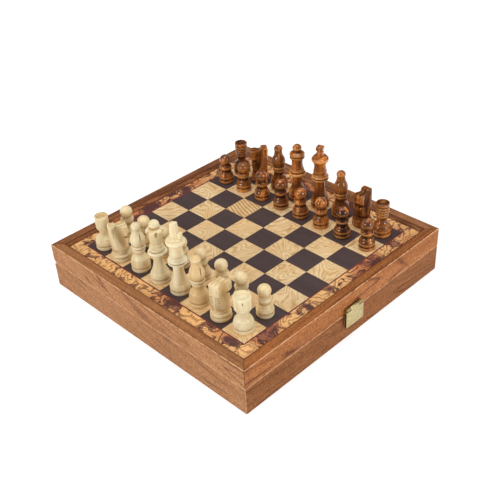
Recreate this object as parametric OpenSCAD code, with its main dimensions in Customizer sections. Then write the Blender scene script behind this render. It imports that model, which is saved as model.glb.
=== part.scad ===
// Chess box. The hinged lid is the board, and the 32 men stand on it.
// Millimetres, +Z up. The origin is the middle of the underside, and the clasp is on the -Y side.
// White stands on the -X side and black on the +X side, with the a file at +Y.

/* [Base] */
// Outer width and depth of the square box
box_side = 270; // [250:1:320]
// Height of the base
base_height = 28.5; // [24:0.5:60]
// Thickness of the side rails of base and lid
rail_thickness = 12; // [10.5:0.5:14]
// Thickness of the bottom panel
bottom_thickness = 4; // [2:0.5:6]
// How far the bottom panel reaches under the rails
bottom_rebate = 6; // [2:0.5:7]
// Thickness of the felt in the base
base_felt = 1.2; // [0.6:0.1:2]
// Width of the bevel on the outer arrises
arris = 0.6; // [0.2:0.1:1]

/* [Lid and board] */
// Height of the lid
lid_height = 20.2; // [18:0.1:40]
// Gap between base and lid
parting = 0.3; // [0.2:0.1:0.8]
// Width of the flat top of the lid rim
rim_flat = 10; // [6:0.5:12]
// Width of the slope from the rim down to the board
rim_slope = 3.3; // [1:0.1:5]
// Depth of the board below the rim
board_drop = 3.4; // [1.5:0.1:5]
// Depth of the groove that holds the board panel
groove_depth = 4.3; // [2:0.1:5]
// Thickness of the board panel under the veneers
panel_thickness = 5; // [3:0.5:6]
// Thickness of the veneers
veneer = 0.8; // [0.5:0.1:1.2]
// Side of one square of the board
square_side = 27.2; // [24:0.1:28]
// Width of the dark line around the squares
stringing_width = 1.3; // [0.8:0.1:3]
// Thickness of the felt in the lid
lid_felt = 1; // [0.6:0.1:2]

/* [Lid hinges] */
// Distance of each hinge from the middle of the back
hinge_offset = 80; // [50:1:100]
// Length of a hinge along the back edge
hinge_length = 30; // [24:1:40]
// Distance of the hinge pin from the back face
pin_inset = 3; // [2.8:0.1:3.6]
// Radius of the hinge knuckles
knuckle_radius = 2; // [1.6:0.1:2.4]
// Radius of the hinge pin
hinge_pin_radius = 0.8; // [0.6:0.1:1]
// Thickness of the hinge leaves
leaf_thickness = 1.3; // [1:0.1:1.6]
// Width of a hinge leaf, from the pin
leaf_width = 8.2; // [7.6:0.1:8.8]
// Angle to which the lid opens
lid_opening = 100; // [60:1:110]
// Distance between the two screws of a leaf
screw_spacing = 18; // [14:1:20]
// Distance of the screws from the hinge pin
screw_setback = 5.2; // [5:0.1:5.4]
// Radius of the screw heads
screw_head_radius = 1.9; // [1.6:0.1:2]
// Radius of the screw shanks
screw_radius = 0.9; // [0.7:0.1:1.1]
// Length of the screws
screw_length = 8; // [6:0.5:10]
// Width of the slot in a screw head
screw_slot = 0.5; // [0.3:0.1:0.6]

/* [Clasp] */
// Middle of the clasp along the front
clasp_x = 1; // [-5:0.5:5]
// Width of the flap
flap_width = 24; // [20:1:30]
// Thickness of the flap
flap_thickness = 2; // [1.2:0.1:2.4]
// Height of the lower edge of the flap
flap_bottom = 16; // [10:0.5:18]
// Height of the clasp pin above the underside of the lid
clasp_rise = 6.2; // [5:0.1:9]
// Radius of the clasp knuckles
clasp_knuckle_radius = 1.5; // [1.2:0.1:1.8]
// Radius of the clasp pin
clasp_pin_radius = 0.6; // [0.5:0.1:0.8]
// Length of the middle knuckle, on the flap
middle_knuckle = 11; // [8:0.5:14]
// Thickness of the mount and of the keeper
backing_thickness = 1.6; // [1:0.1:2]
// Width of the mount and of the keeper
backing_width = 22; // [18:1:28]
// Distance of the backing plates from the parting
backing_setback = 0.5; // [0.3:0.1:1]
// Height of the keeper
keeper_height = 11; // [9.5:0.5:12]
// Radius of the magnet
magnet_radius = 4; // [3:0.5:4.5]
// Thickness of the magnet
magnet_thickness = 1.2; // [0.8:0.1:1.4]

/* [Chessmen] */
// Height of a pawn
pawn_height = 32; // [30:0.5:36]
// Foot radius of a pawn
pawn_foot = 8.25; // [7.8:0.05:9.5]
// Radius of the ball of a pawn
pawn_ball = 6.1; // [5:0.1:6.5]
// Height of a rook
rook_height = 36; // [34:0.5:42]
// Foot radius of a rook
rook_foot = 9.5; // [9:0.1:11]
// Head radius of a white rook
white_rook_head = 7.9; // [6.4:0.1:8.5]
// Head radius of a black rook
black_rook_head = 6.6; // [6.4:0.1:8.5]
// Height of a knight
knight_height = 39.5; // [38:0.5:44]
// Foot radius of a knight
knight_foot = 9.9; // [9.5:0.1:11]
// Height of a bishop
bishop_height = 51.2; // [50:0.1:58]
// Foot radius of a bishop
bishop_foot = 9.3; // [9:0.1:11]
// Height of a white queen
white_queen_height = 65; // [60:0.5:72]
// Height of a black queen
black_queen_height = 61.5; // [60:0.5:72]
// Foot radius of a queen
queen_foot = 9.5; // [9.2:0.1:11]
// Height of a white king
white_king_height = 73.5; // [67:0.5:80]
// Height of a black king
black_king_height = 68.5; // [67:0.5:80]
// Foot radius of a king
king_foot = 9.75; // [9.4:0.05:11]
// Height of the foot of every man
foot_height = 3.7; // [3:0.1:4]
// Width of the saw cut in the rim of a rook
rook_cut = 0.8; // [0.4:0.1:1.2]
// Depth of the saw cut in the rim of a rook
rook_cut_depth = 3.8; // [2:0.1:4.5]
// Width of the saw cut in a bishop's mitre
bishop_cut = 0.8; // [0.4:0.1:1.2]
// Number of saw cuts in a queen's coronet
queen_cuts = 6; // [4:1:8]
// Width of the saw cuts in a queen's coronet
queen_cut = 1; // [0.6:0.1:1.6]
// Number of carved ribs in the mane of the white knight that has them
mane_ribs = 6; // [3:1:6]

/* [Hidden] */
OFFICERS = ["rook_a", "knight_b", "bishop_c", "queen", "king", "bishop_f", "knight_g", "rook_h"];
FILES = ["a", "b", "c", "d", "e", "f", "g", "h"];
ARMIES = ["white", "black"];
BOX_NODES = [
    "base_front_rail", "base_back_rail", "base_left_rail", "base_right_rail",
    "base_bottom_panel", "base_lining",
    "lid_front_rail", "lid_back_rail", "lid_left_rail", "lid_right_rail",
    "board_panel", "light_squares", "dark_squares", "board_stringing", "burl_border", "lid_lining",
    "left_hinge_base_leaf", "left_hinge_lid_leaf", "right_hinge_base_leaf", "right_hinge_lid_leaf",
    "hinge_pins", "base_screws", "lid_screws",
    "latch_mount", "latch_flap", "latch_pin", "latch_keeper", "latch_magnet"
];

// How far each man stands off the middle of its square, as placed by hand, from file a to file h
WHITE_PAWNS_OFF = [[0, 0], [0, 0], [0, 0], [0, 0], [0, 0], [0, 0], [-1.8, 0.2], [-1, 0]];
BLACK_PAWNS_OFF = [[0, 0], [0, 0], [0, 0], [0, 0], [0, 0], [0, 0], [0, 0], [-0.8, -3.8]];
WHITE_OFFICERS_OFF = [
    [-2.2, -0.2], [-4, -1], [-2.2, -1.2], [-1.3, -1.3], [-0.4, -0.8], [-0.8, 0.4], [-1.6, -0.9], [0, 0]
];
BLACK_OFFICERS_OFF = [
    [-1, 1.6], [-0.3, 1.4], [-0.5, 0], [-0.8, 0.4], [1, -1.8], [0.6, -2.2], [1.4, -1.7], [0, 0]
];
// How far each officer is turned about its own axis, from file a to file h
WHITE_TURNS = [-133, -20, -80, 0, 0, -80, 12, -133];
BLACK_TURNS = [-20, 140, 170, 0, 0, 170, 180, -20];

// Clearances
panel_fit = 0.2;
veneer_joint = 0.1;
pin_fit = 0.05;
screw_fit = 0.05;
knuckle_gap = 0.3;
flap_gap = 0.3;
eps = 0.01;

half = box_side / 2;
lid_bottom = base_height + parting;
lid_top = lid_bottom + lid_height;
board_top = lid_top - board_drop;
panel_top = board_top - veneer;
panel_bottom = panel_top - panel_thickness;
inner_half = half - rail_thickness;
rim_foot = rim_flat + rim_slope;
panel_half = half - rim_foot + groove_depth;
field_half = 4 * square_side;
stringing_half = field_half + stringing_width;

pin_y = half - pin_inset;
pin_z = base_height + parting / 2;
stop_slope = tan(lid_opening / 2 + 0.5);
knuckle_length = (hinge_length - 2 * knuckle_gap) / 3;

clasp_y = -half - backing_thickness - flap_gap - flap_thickness + clasp_knuckle_radius;
clasp_z = lid_bottom + clasp_rise;
flap_front = -half - backing_thickness - flap_gap - flap_thickness;

pale_wood = [0.93, 0.86, 0.68];
stained_wood = [0.42, 0.22, 0.11];
walnut = [0.68, 0.46, 0.3];
brass = [0.8, 0.65, 0.33];
brushed = [0.8, 0.76, 0.66];

// Turned profiles are lists of [radius, height] points. Each function gives one turned form.

// A bead that stands out from a radius between two heights
function bead(radius, low, high, out, steps = 6) = [
    for (i = [0 : steps]) [
        radius + out * sin(180 * i / steps),
        (low + high) / 2 - (high - low) / 2 * cos(180 * i / steps)
    ]
];

// A smooth S from one radius to another, upright at both ends
function ogee(r_low, low, r_high, high, steps = 8) = [
    for (i = [0 : steps]) [
        r_low + (r_high - r_low) * (1 - cos(180 * i / steps)) / 2,
        low + (high - low) * i / steps
    ]
];

// A hollow sweep that leaves the lower radius level and ends upright
function cove(r_low, low, r_high, high, steps = 6) = [
    for (i = [0 : steps]) [
        r_low + (r_high - r_low) * sin(90 * i / steps),
        low + (high - low) * (1 - cos(90 * i / steps))
    ]
];

// A flare that starts upright and runs out to a wider radius above
function flare(r_low, low, r_high, high, steps = 6) = [
    for (i = [0 : steps]) [
        r_low + (r_high - r_low) * (1 - cos(90 * i / steps)),
        low + (high - low) * sin(90 * i / steps)
    ]
];

// A ball or flattened ball from its neck to the top of the axis
function ball(radius, half_height, middle, neck, steps = 9) = [
    let (start = -acos(neck / radius))
    for (i = [0 : steps])
        let (a = start + (90 - start) * i / steps)
        [i == steps ? 0 : radius * cos(a), middle + half_height * sin(a)]
];

// The foot that every man stands on, up to the groove above it
function foot_ring(foot) = concat(
    [[0, 0], [foot - 0.5, 0]],
    bead(foot - 0.5, 0.3, foot_height, 0.5),
    [[foot - 1.4, foot_height + 0.1], [foot - 1.4, foot_height + 0.6]]
);

// The foot and the swelling above it, which narrows to the neck
function foot_and_body(foot, neck, neck_at) = concat(
    foot_ring(foot),
    bead(foot - 0.9, foot_height + 0.8, foot_height + 5, 0.35, 4),
    ogee(foot - 1, foot_height + 5.4, neck, neck_at)
);

// One rail of a square frame, on the -Y side. The outline gives depth from the outer face and height.
module mitred_rail(outline) {
    inner = max(rail_thickness, rim_foot) + 1;
    intersection() {
        rotate([90, 0, 90])
            translate([0, 0, -half])
                linear_extrude(height = box_side)
                    polygon([for (p = outline) [p[0] - half, p[1]]]);
        translate([0, 0, -1])
            linear_extrude(height = lid_top + 2)
                polygon([
                    [-half + arris, -half], [half - arris, -half], [half - arris / 2, -half + arris / 2],
                    [half - inner, -half + inner], [-half + inner, -half + inner],
                    [-half + arris / 2, -half + arris / 2]
                ]);
    }
}

base_outline = [
    [arris, 0], [0, arris], [0, base_height - arris], [arris, base_height],
    [rail_thickness, base_height], [rail_thickness, bottom_thickness],
    [rail_thickness - bottom_rebate - panel_fit, bottom_thickness],
    [rail_thickness - bottom_rebate - panel_fit, 0]
];

lid_outline = [
    [arris, lid_bottom], [0, lid_bottom + arris], [0, lid_top - arris], [arris, lid_top],
    [rim_flat, lid_top], [rim_foot, board_top],
    [rim_foot - groove_depth - panel_fit, board_top],
    [rim_foot - groove_depth - panel_fit, panel_bottom],
    [rail_thickness, panel_bottom], [rail_thickness, lid_bottom]
];

// The wedge that is bevelled off a back edge, so that the lid stops against the base
module stop_bevel(side) {
    reach = pin_inset + 1;
    translate([0, pin_y, pin_z])
        rotate([90, 0, 90])
            translate([0, 0, -half - 1])
                linear_extrude(height = box_side + 2)
                    polygon([[0, 0], [reach, 0], [reach, side * reach * stop_slope]]);
}

// Places children at both hinges
module at_hinges() {
    for (side = [-1, 1])
        translate([side * hinge_offset, pin_y, pin_z]) children();
}

module at_screws() {
    at_hinges()
        for (side = [-1, 1])
            translate([side * screw_spacing / 2, -screw_setback, 0]) children();
}

// Room for one hinge: the leaf's mortise, the knuckles and the screws. side is -1 below the pin, 1 above.
module hinge_room(side) {
    at_hinges() {
        length = hinge_length + 2 * knuckle_gap;
        rotate([0, 90, 0])
            cylinder(h = length, r = knuckle_radius + knuckle_gap, center = true, $fn = 48);
        translate([-length / 2, -leaf_width - panel_fit, side < 0 ? -parting / 2 - leaf_thickness : -1])
            cube([length, leaf_width + panel_fit, leaf_thickness + parting / 2 + 1]);
    }
    at_screws()
        translate([0, 0, side < 0 ? -parting / 2 - screw_length - panel_fit : 0])
            cylinder(
                h = screw_length + panel_fit + parting / 2, r = screw_radius + screw_fit, $fn = 24
            );
}

module base_front_rail() {
    color(walnut) mitred_rail(base_outline);
}

module base_back_rail() {
    color(walnut)
        difference() {
            mirror([0, 1, 0]) mitred_rail(base_outline);
            stop_bevel(-1);
            hinge_room(-1);
        }
}

// A side rail of the base. turn is -90 for the left one and 90 for the right one.
module base_side_rail(turn) {
    color(walnut)
        difference() {
            rotate([0, 0, turn]) mitred_rail(base_outline);
            stop_bevel(-1);
        }
}

module base_left_rail() {
    base_side_rail(-90);
}

module base_right_rail() {
    base_side_rail(90);
}

module base_bottom_panel() {
    side = 2 * (inner_half + bottom_rebate);
    color(walnut)
        translate([-side / 2, -side / 2, 0])
            cube([side, side, bottom_thickness]);
}

module base_lining() {
    side = 2 * (inner_half - panel_fit);
    color("darkgreen")
        translate([-side / 2, -side / 2, bottom_thickness])
            cube([side, side, base_felt]);
}

module lid_front_rail() {
    color(walnut) mitred_rail(lid_outline);
}

module lid_back_rail() {
    color(walnut)
        difference() {
            mirror([0, 1, 0]) mitred_rail(lid_outline);
            stop_bevel(1);
            hinge_room(1);
        }
}

// A side rail of the lid. turn is -90 for the left one and 90 for the right one.
module lid_side_rail(turn) {
    color(walnut)
        difference() {
            rotate([0, 0, turn]) mitred_rail(lid_outline);
            stop_bevel(1);
        }
}

module lid_left_rail() {
    lid_side_rail(-90);
}

module lid_right_rail() {
    lid_side_rail(90);
}

module board_panel() {
    color("burlywood")
        translate([-panel_half, -panel_half, panel_bottom])
            cube([2 * panel_half, 2 * panel_half, panel_thickness]);
}

// The squares of one colour. parity is 0 for light and 1 for dark, counted from the -X, -Y corner.
module squares(parity) {
    tile = square_side - veneer_joint;
    for (i = [0 : 7], j = [0 : 7])
        if ((i + j) % 2 == parity)
            translate([
                (i - 4) * square_side + veneer_joint / 2,
                (j - 4) * square_side + veneer_joint / 2,
                panel_top
            ])
                cube([tile, tile, veneer]);
}

module light_squares() {
    color([0.89, 0.78, 0.58]) squares(0);
}

module dark_squares() {
    color([0.27, 0.22, 0.22]) squares(1);
}

module board_stringing() {
    color([0.35, 0.14, 0.09])
        translate([0, 0, panel_top])
            linear_extrude(height = veneer)
                difference() {
                    square(2 * stringing_half, center = true);
                    square(2 * field_half, center = true);
                }
}

// Four mitred strips of veneer
module burl_border() {
    gap = veneer_joint / 2;
    color([0.8, 0.52, 0.27])
        for (turn = [0 : 3])
            rotate([0, 0, 90 * turn])
                translate([0, 0, panel_top])
                    linear_extrude(height = veneer)
                        polygon([
                            [-stringing_half, -stringing_half - gap],
                            [-panel_half + gap, -panel_half],
                            [panel_half - gap, -panel_half],
                            [stringing_half, -stringing_half - gap]
                        ]);
}

module lid_lining() {
    side = 2 * (inner_half - panel_fit);
    color("darkgreen")
        translate([-side / 2, -side / 2, panel_bottom - lid_felt])
            cube([side, side, lid_felt]);
}

// One leaf of a hinge about its pin, with its knuckles. side is -1 for the base and 1 for the lid.
module hinge_leaf(side) {
    plate_z = side < 0 ? -parting / 2 - leaf_thickness : parting / 2;
    clear = knuckle_length / 2 + knuckle_gap;
    difference() {
        union() {
            translate([-hinge_length / 2, -leaf_width, plate_z])
                cube([hinge_length, leaf_width, leaf_thickness]);
            rotate([0, 90, 0])
                cylinder(h = hinge_length, r = knuckle_radius, center = true, $fn = 48);
        }
        rotate([0, 90, 0])
            cylinder(h = hinge_length + 2, r = hinge_pin_radius + pin_fit, center = true, $fn = 32);
        if (side < 0)
            other_knuckle_room(-clear, clear);
        else {
            other_knuckle_room(-hinge_length / 2 - 1, -knuckle_length / 2);
            other_knuckle_room(knuckle_length / 2, hinge_length / 2 + 1);
        }
        for (x = [-1, 1])
            translate([x * screw_spacing / 2, -screw_setback, plate_z])
                mirror([0, 0, side < 0 ? 0 : 1])
                    translate([0, 0, side < 0 ? 0 : -leaf_thickness])
                        screw_hole();
    }
}

// Clears the pin and the knuckle of the other leaf between two places along the pin
module other_knuckle_room(from, to) {
    reach = knuckle_radius + knuckle_gap;
    translate([from, -reach, -reach])
        cube([to - from, 2 * reach, 2 * reach]);
}

// A countersunk hole through a leaf, with its mouth at the top
module screw_hole() {
    translate([0, 0, -eps])
        rotate_extrude($fn = 32)
            polygon([
                [0, 0], [screw_radius + screw_fit, 0],
                [screw_radius + screw_fit, leaf_thickness - (screw_head_radius - screw_radius)],
                [screw_head_radius + screw_fit, leaf_thickness],
                [screw_head_radius + screw_fit, leaf_thickness + 1], [0, leaf_thickness + 1]
            ]);
}

module left_hinge_base_leaf() {
    color(brass) translate([-hinge_offset, pin_y, pin_z]) hinge_leaf(-1);
}

module left_hinge_lid_leaf() {
    color(brass) translate([-hinge_offset, pin_y, pin_z]) hinge_leaf(1);
}

module right_hinge_base_leaf() {
    color(brass) translate([hinge_offset, pin_y, pin_z]) hinge_leaf(-1);
}

module right_hinge_lid_leaf() {
    color(brass) translate([hinge_offset, pin_y, pin_z]) hinge_leaf(1);
}

module hinge_pins() {
    color(brass)
        at_hinges()
            rotate([0, 90, 0])
                cylinder(h = hinge_length, r = hinge_pin_radius, center = true, $fn = 32);
}

// A countersunk screw that points down from its flat head at the origin
module screw() {
    taper = screw_head_radius - screw_radius;
    difference() {
        rotate_extrude($fn = 32)
            polygon([
                [0, -screw_length], [screw_radius * 0.4, -screw_length],
                [screw_radius, -screw_length + 1.5], [screw_radius, -taper],
                [screw_head_radius, 0], [0, 0]
            ]);
        translate([-screw_head_radius - 1, -screw_slot / 2, -screw_slot])
            cube([2 * screw_head_radius + 2, screw_slot, screw_slot + 1]);
    }
}

module base_screws() {
    color(brass) at_screws() translate([0, 0, -parting / 2]) screw();
}

module lid_screws() {
    color(brass) at_screws() translate([0, 0, parting / 2]) mirror([0, 0, 1]) screw();
}

// A stretch of clasp knuckle between two places along the pin
module clasp_knuckle(from, to) {
    translate([from, 0, 0])
        rotate([0, 90, 0])
            cylinder(h = to - from, r = clasp_knuckle_radius, $fn = 48);
}

module clasp_bore() {
    rotate([0, 90, 0])
        cylinder(h = flap_width + 2, r = clasp_pin_radius + pin_fit, center = true, $fn = 32);
}

module latch_mount() {
    ear = middle_knuckle / 2 + knuckle_gap;
    bottom = lid_bottom + backing_setback - clasp_z;
    back = -half - clasp_y;
    color(brushed)
        translate([clasp_x, clasp_y, clasp_z])
            difference() {
                union() {
                    translate([-backing_width / 2, back - backing_thickness, bottom])
                        cube([backing_width, backing_thickness, -bottom]);
                    clasp_knuckle(-backing_width / 2, backing_width / 2);
                }
                translate([-ear, -clasp_knuckle_radius - 1, -clasp_knuckle_radius - knuckle_gap])
                    cube([2 * ear, back + clasp_knuckle_radius + 2, 2 * clasp_knuckle_radius + 1]);
                clasp_bore();
            }
}

module latch_flap() {
    edge = clasp_knuckle_radius + knuckle_gap;
    front = flap_front - clasp_y;
    color(brushed)
        translate([clasp_x, clasp_y, clasp_z])
            difference() {
                union() {
                    translate([-flap_width / 2, front, flap_bottom - clasp_z])
                        cube([flap_width, flap_thickness, clasp_z - flap_bottom - edge]);
                    translate([-middle_knuckle / 2, front, -edge - 1])
                        cube([middle_knuckle, flap_thickness, edge + 1]);
                    clasp_knuckle(-middle_knuckle / 2, middle_knuckle / 2);
                }
                clasp_bore();
            }
}

module latch_pin() {
    color(brass)
        translate([clasp_x, clasp_y, clasp_z])
            rotate([0, 90, 0])
                cylinder(h = flap_width, r = clasp_pin_radius, center = true, $fn = 32);
}

keeper_top = base_height - backing_setback;
magnet_z = keeper_top - keeper_height / 2;

module latch_keeper() {
    color(brushed)
        difference() {
            translate([clasp_x - backing_width / 2, -half - backing_thickness, keeper_top - keeper_height])
                cube([backing_width, backing_thickness, keeper_height]);
            translate([clasp_x, -half - backing_thickness - 1, magnet_z])
                rotate([-90, 0, 0])
                    cylinder(h = magnet_thickness + 1, r = magnet_radius + pin_fit, $fn = 48);
        }
}

module latch_magnet() {
    color("dimgray")
        translate([clasp_x, -half - backing_thickness, magnet_z])
            rotate([-90, 0, 0])
                cylinder(h = magnet_thickness, r = magnet_radius, $fn = 48);
}

module turned(profile) {
    rotate_extrude($fn = 48) polygon(profile);
}

module pawn() {
    middle = pawn_height - pawn_ball;
    collar = middle - pawn_ball - 3.3;
    turned(concat(
        foot_and_body(pawn_foot, 4.4, collar),
        bead(4.5, collar + 0.3, collar + 3.9, 2),
        ball(pawn_ball, pawn_ball, middle, 4.2)
    ));
}

// The rim of the head has a saw cut in it on the +X side
module rook(head) {
    height = rook_height;
    under_head = height - 14.4;
    difference() {
        turned(concat(
            foot_and_body(rook_foot, 5.3, under_head),
            flare(5.4, under_head + 0.4, head - 0.6, height - 10.6, 4),
            [[head - 0.9, height - 10.2], [head - 0.5, height - 9.8]],
            [[head - 0.3, height - 4], [head, height - 1], [head - 0.5, height - 0.2]],
            [[head - 1, height], [head - 2, height - 0.5], [head - 4, height - 1.3], [0, height - 1.5]]
        ));
        translate([0, -rook_cut / 2, height - rook_cut_depth])
            cube([head + 1, rook_cut, rook_cut_depth + 1]);
    }
}

// The mitre has a slanted saw cut in it on the +X side
module bishop() {
    collar = bishop_height - 29.7;
    mitre = bishop_height - 22;
    cap = bishop_height - 7.2;
    difference() {
        turned(concat(
            foot_and_body(bishop_foot, 5, collar - 0.6),
            bead(5.1, collar, collar + 2.5, 1),
            [[5, collar + 3]],
            bead(5.3, collar + 3.4, collar + 6.8, 1.2),
            ogee(6.1, mitre - 0.3, 7.2, mitre + 3.6, 3),
            ogee(7.2, mitre + 4.8, 4.1, cap, 6),
            ball(4.8, 3.4, bishop_height - 3.4, 3.9)
        ));
        translate([4.2, -5, mitre + 5])
            rotate([0, 30, 0])
                cube([bishop_cut, 10, 7.5]);
    }
}

module queen(height) {
    collar = height - 35;
    rim = height - 13.4;
    difference() {
        turned(concat(
            foot_and_body(queen_foot, 5.1, collar - 3),
            [[5.2, collar - 0.6]],
            bead(6, collar, collar + 3.8, 2.9),
            bead(6.1, collar + 4.3, collar + 6.8, 1.2),
            cove(6.9, collar + 7.2, 6, collar + 9),
            bead(5.8, collar + 9.2, collar + 10.6, 0.4, 4),
            ogee(5.7, collar + 11.2, 5.6, collar + 13.6, 2),
            flare(5.6, collar + 14.2, 7, rim - 2.2, 4),
            bead(7, rim - 1.9, rim + 0.6, 0.8, 4),
            bead(7, rim + 1, rim + 4, 0.9, 4),
            [[5.6, rim + 5], [3.6, rim + 5.6]],
            ball(4.6, 3.8, height - 3.8, 3.4)
        ));
        for (turn = [0 : queen_cuts - 1])
            rotate([0, 0, turn * 360 / queen_cuts])
                translate([5.4, -queen_cut / 2, rim + 0.8])
                    cube([4, queen_cut, 5]);
    }
}

// A square finial with side notches that leave a stubby cross
module finial(height) {
    low = 3.7;
    top = 3;
    arm = height * 0.45;
    outline = [
        [-low, 0], [low, 0], [low, arm - 1], [low - 0.9, arm - 0.2], [low, arm + 0.6],
        [low - 0.2, height * 0.7], [low - 1.2, height * 0.75], [top, height * 0.82],
        [top, height - 0.6], [top - 0.8, height], [-top + 0.8, height], [-top, height - 0.6],
        [-top, height * 0.82], [-low + 1.2, height * 0.75], [-low + 0.2, height * 0.7],
        [-low, arm + 0.6], [-low + 0.9, arm - 0.2], [-low, arm - 1]
    ];
    intersection() {
        rotate([90, 0, 0]) linear_extrude(height = 10, center = true) polygon(outline);
        rotate([90, 0, 90]) linear_extrude(height = 10, center = true) polygon(outline);
    }
}

module king(height) {
    shoulder = 58.6;
    collar = shoulder - 27.4;
    turned(concat(
        foot_and_body(king_foot, 5.2, collar - 4.4),
        [[5.3, collar - 0.8]],
        bead(6.2, collar, collar + 2.4, 2.6),
        bead(6.3, collar + 2.7, collar + 5.2, 2.4),
        cove(7.6, collar + 5.6, 6.7, collar + 8.6),
        bead(6.5, collar + 8.8, collar + 10.6, 0.4, 4),
        ogee(6.3, collar + 11, 6.05, collar + 15, 3),
        flare(6.05, collar + 15.4, 8, shoulder - 6.4, 4),
        bead(8, shoulder - 6.2, shoulder - 2.6, 0.7, 6),
        [[7.4, shoulder - 2.2]],
        bead(6.4, shoulder - 2, shoulder - 0.8, 0.5, 4),
        [[5, shoulder - 0.3], [0, shoulder]]
    ));
    translate([0, 0, shoulder - 0.6]) finial(height - shoulder + 0.6);
}

// The horse's head looks along +X. Its flat block is shaped by a side outline and a front outline.
module knight(ribs) {
    top = knight_height;
    muzzle_top = top - 2.2;
    neck = 10;
    turned(concat(
        foot_ring(knight_foot),
        bead(knight_foot - 1.2, foot_height + 0.8, neck - 1.6, 0.4, 4),
        [[knight_foot - 2.2, neck - 0.8], [knight_foot - 2.6, neck], [0, neck]]
    ));
    difference() {
        intersection() {
            rotate([90, 0, 0])
                linear_extrude(height = 20, center = true)
                    polygon([
                        [-6.4, neck - 1], [-8, neck + 7], [-8.9, top - 13], [-9, top - 1], [-8.2, top],
                        [-0.4, top], [0.4, muzzle_top], [8.2, muzzle_top], [9, muzzle_top - 0.8],
                        [8.8, top - 11.4], [3.2, top - 14.8], [7.8, top - 15.4], [8.9, top - 19.4],
                        [7.6, neck + 5], [6.2, neck - 1]
                    ]);
            rotate([90, 0, 90])
                linear_extrude(height = 30, center = true)
                    polygon([
                        [-6.2, neck - 1], [-6.1, neck + 8], [-4.9, top - 10], [-4.2, top - 0.8], [-3.5, top],
                        [3.5, top], [4.2, top - 0.8], [4.9, top - 10], [6.1, neck + 8], [6.2, neck - 1]
                    ]);
        }
        for (side = [-1, 1]) {
            translate([-0.4, side * 9.2, neck + 12.5])
                rotate([0, -22, 0])
                    cylinder(h = 30, r = 5.2, center = true, $fn = 48);
            if (ribs)
                for (i = [0 : mane_ribs - 1])
                    translate([-8.6, side * 5.6, neck + 2.6 + 2.2 * i])
                        rotate([0, -18, 0])
                            cube([4.4, 2.2, 0.7], center = true);
        }
    }
}

// A man on the square of the given file (0 is a) and rank (0 is white's first)
module on_square(file, rank, off_middle) {
    translate([
        (rank - 3.5) * square_side + off_middle[0],
        (3.5 - file) * square_side + off_middle[1],
        board_top
    ])
        children();
}

module officer(name, white) {
    if (name == "rook_a" || name == "rook_h")
        rook(white ? white_rook_head : black_rook_head);
    if (name == "knight_b" || name == "knight_g")
        knight(white && name == "knight_g");
    if (name == "bishop_c" || name == "bishop_f")
        bishop();
    if (name == "queen")
        queen(white ? white_queen_height : black_queen_height);
    if (name == "king")
        king(white ? white_king_height : black_king_height);
}

module white_pawn(file) {
    color(pale_wood) on_square(file, 1, WHITE_PAWNS_OFF[file]) pawn();
}

module black_pawn(file) {
    color(stained_wood) on_square(file, 6, BLACK_PAWNS_OFF[file]) pawn();
}

module white_officer(file) {
    color(pale_wood)
        on_square(file, 0, WHITE_OFFICERS_OFF[file])
            rotate([0, 0, WHITE_TURNS[file]]) officer(OFFICERS[file], true);
}

module black_officer(file) {
    color(stained_wood)
        on_square(file, 7, BLACK_OFFICERS_OFF[file])
            rotate([0, 0, BLACK_TURNS[file]]) officer(OFFICERS[file], false);
}

base_front_rail();
base_back_rail();
base_left_rail();
base_right_rail();
base_bottom_panel();
base_lining();
lid_front_rail();
lid_back_rail();
lid_left_rail();
lid_right_rail();
board_panel();
light_squares();
dark_squares();
board_stringing();
burl_border();
lid_lining();
left_hinge_base_leaf();
left_hinge_lid_leaf();
right_hinge_base_leaf();
right_hinge_lid_leaf();
hinge_pins();
base_screws();
lid_screws();
latch_mount();
latch_flap();
latch_pin();
latch_keeper();
latch_magnet();
for (i = [0 : 7]) {
    white_pawn(i);
    black_pawn(i);
    white_officer(i);
    black_officer(i);
}
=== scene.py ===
"""Looks of the chess box: finishes, turned and carved men, clasp, camera and studio light."""

from __future__ import annotations

import logging
import math
from dataclasses import dataclass, field, replace
from enum import Enum
from typing import Callable, Iterable, Sequence

import bpy
import numpy as np
from mathutils import Matrix, Vector


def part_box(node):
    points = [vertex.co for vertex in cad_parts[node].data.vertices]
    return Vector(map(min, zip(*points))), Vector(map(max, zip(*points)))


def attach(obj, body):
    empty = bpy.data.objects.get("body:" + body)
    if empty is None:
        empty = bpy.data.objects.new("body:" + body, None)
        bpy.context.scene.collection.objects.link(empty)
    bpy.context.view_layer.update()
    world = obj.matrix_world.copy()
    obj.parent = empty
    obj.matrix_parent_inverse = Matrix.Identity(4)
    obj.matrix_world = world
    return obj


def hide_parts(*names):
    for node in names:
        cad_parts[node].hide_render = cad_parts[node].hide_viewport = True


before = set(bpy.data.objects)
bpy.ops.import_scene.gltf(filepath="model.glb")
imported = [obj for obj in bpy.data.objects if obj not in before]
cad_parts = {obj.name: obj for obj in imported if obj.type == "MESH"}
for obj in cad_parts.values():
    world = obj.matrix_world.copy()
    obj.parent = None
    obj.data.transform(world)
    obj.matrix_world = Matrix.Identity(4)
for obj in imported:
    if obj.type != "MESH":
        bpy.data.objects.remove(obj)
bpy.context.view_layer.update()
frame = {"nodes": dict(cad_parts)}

LOG = logging.getLogger("chess_box")
MM = 0.001
Colour = tuple[float, float, float]
Point = tuple[float, float, float]
Profile = list[tuple[float, float]]
Material = bpy.types.Material
Piece = bpy.types.Object
Socket = bpy.types.NodeSocket


def srgb(red: float, green: float, blue: float) -> Colour:
    """Turn a colour as the eye reads it, 0 to 255, into the linear one that shaders take.

    Args:
        red: Red as seen.
        green: Green as seen.
        blue: Blue as seen.

    Returns:
        The linear colour.
    """
    shares = [part / 255 for part in (red, green, blue)]
    return tuple(s / 12.92 if s <= 0.04045 else ((s + 0.055) / 1.055) ** 2.4 for s in shares)


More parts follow.
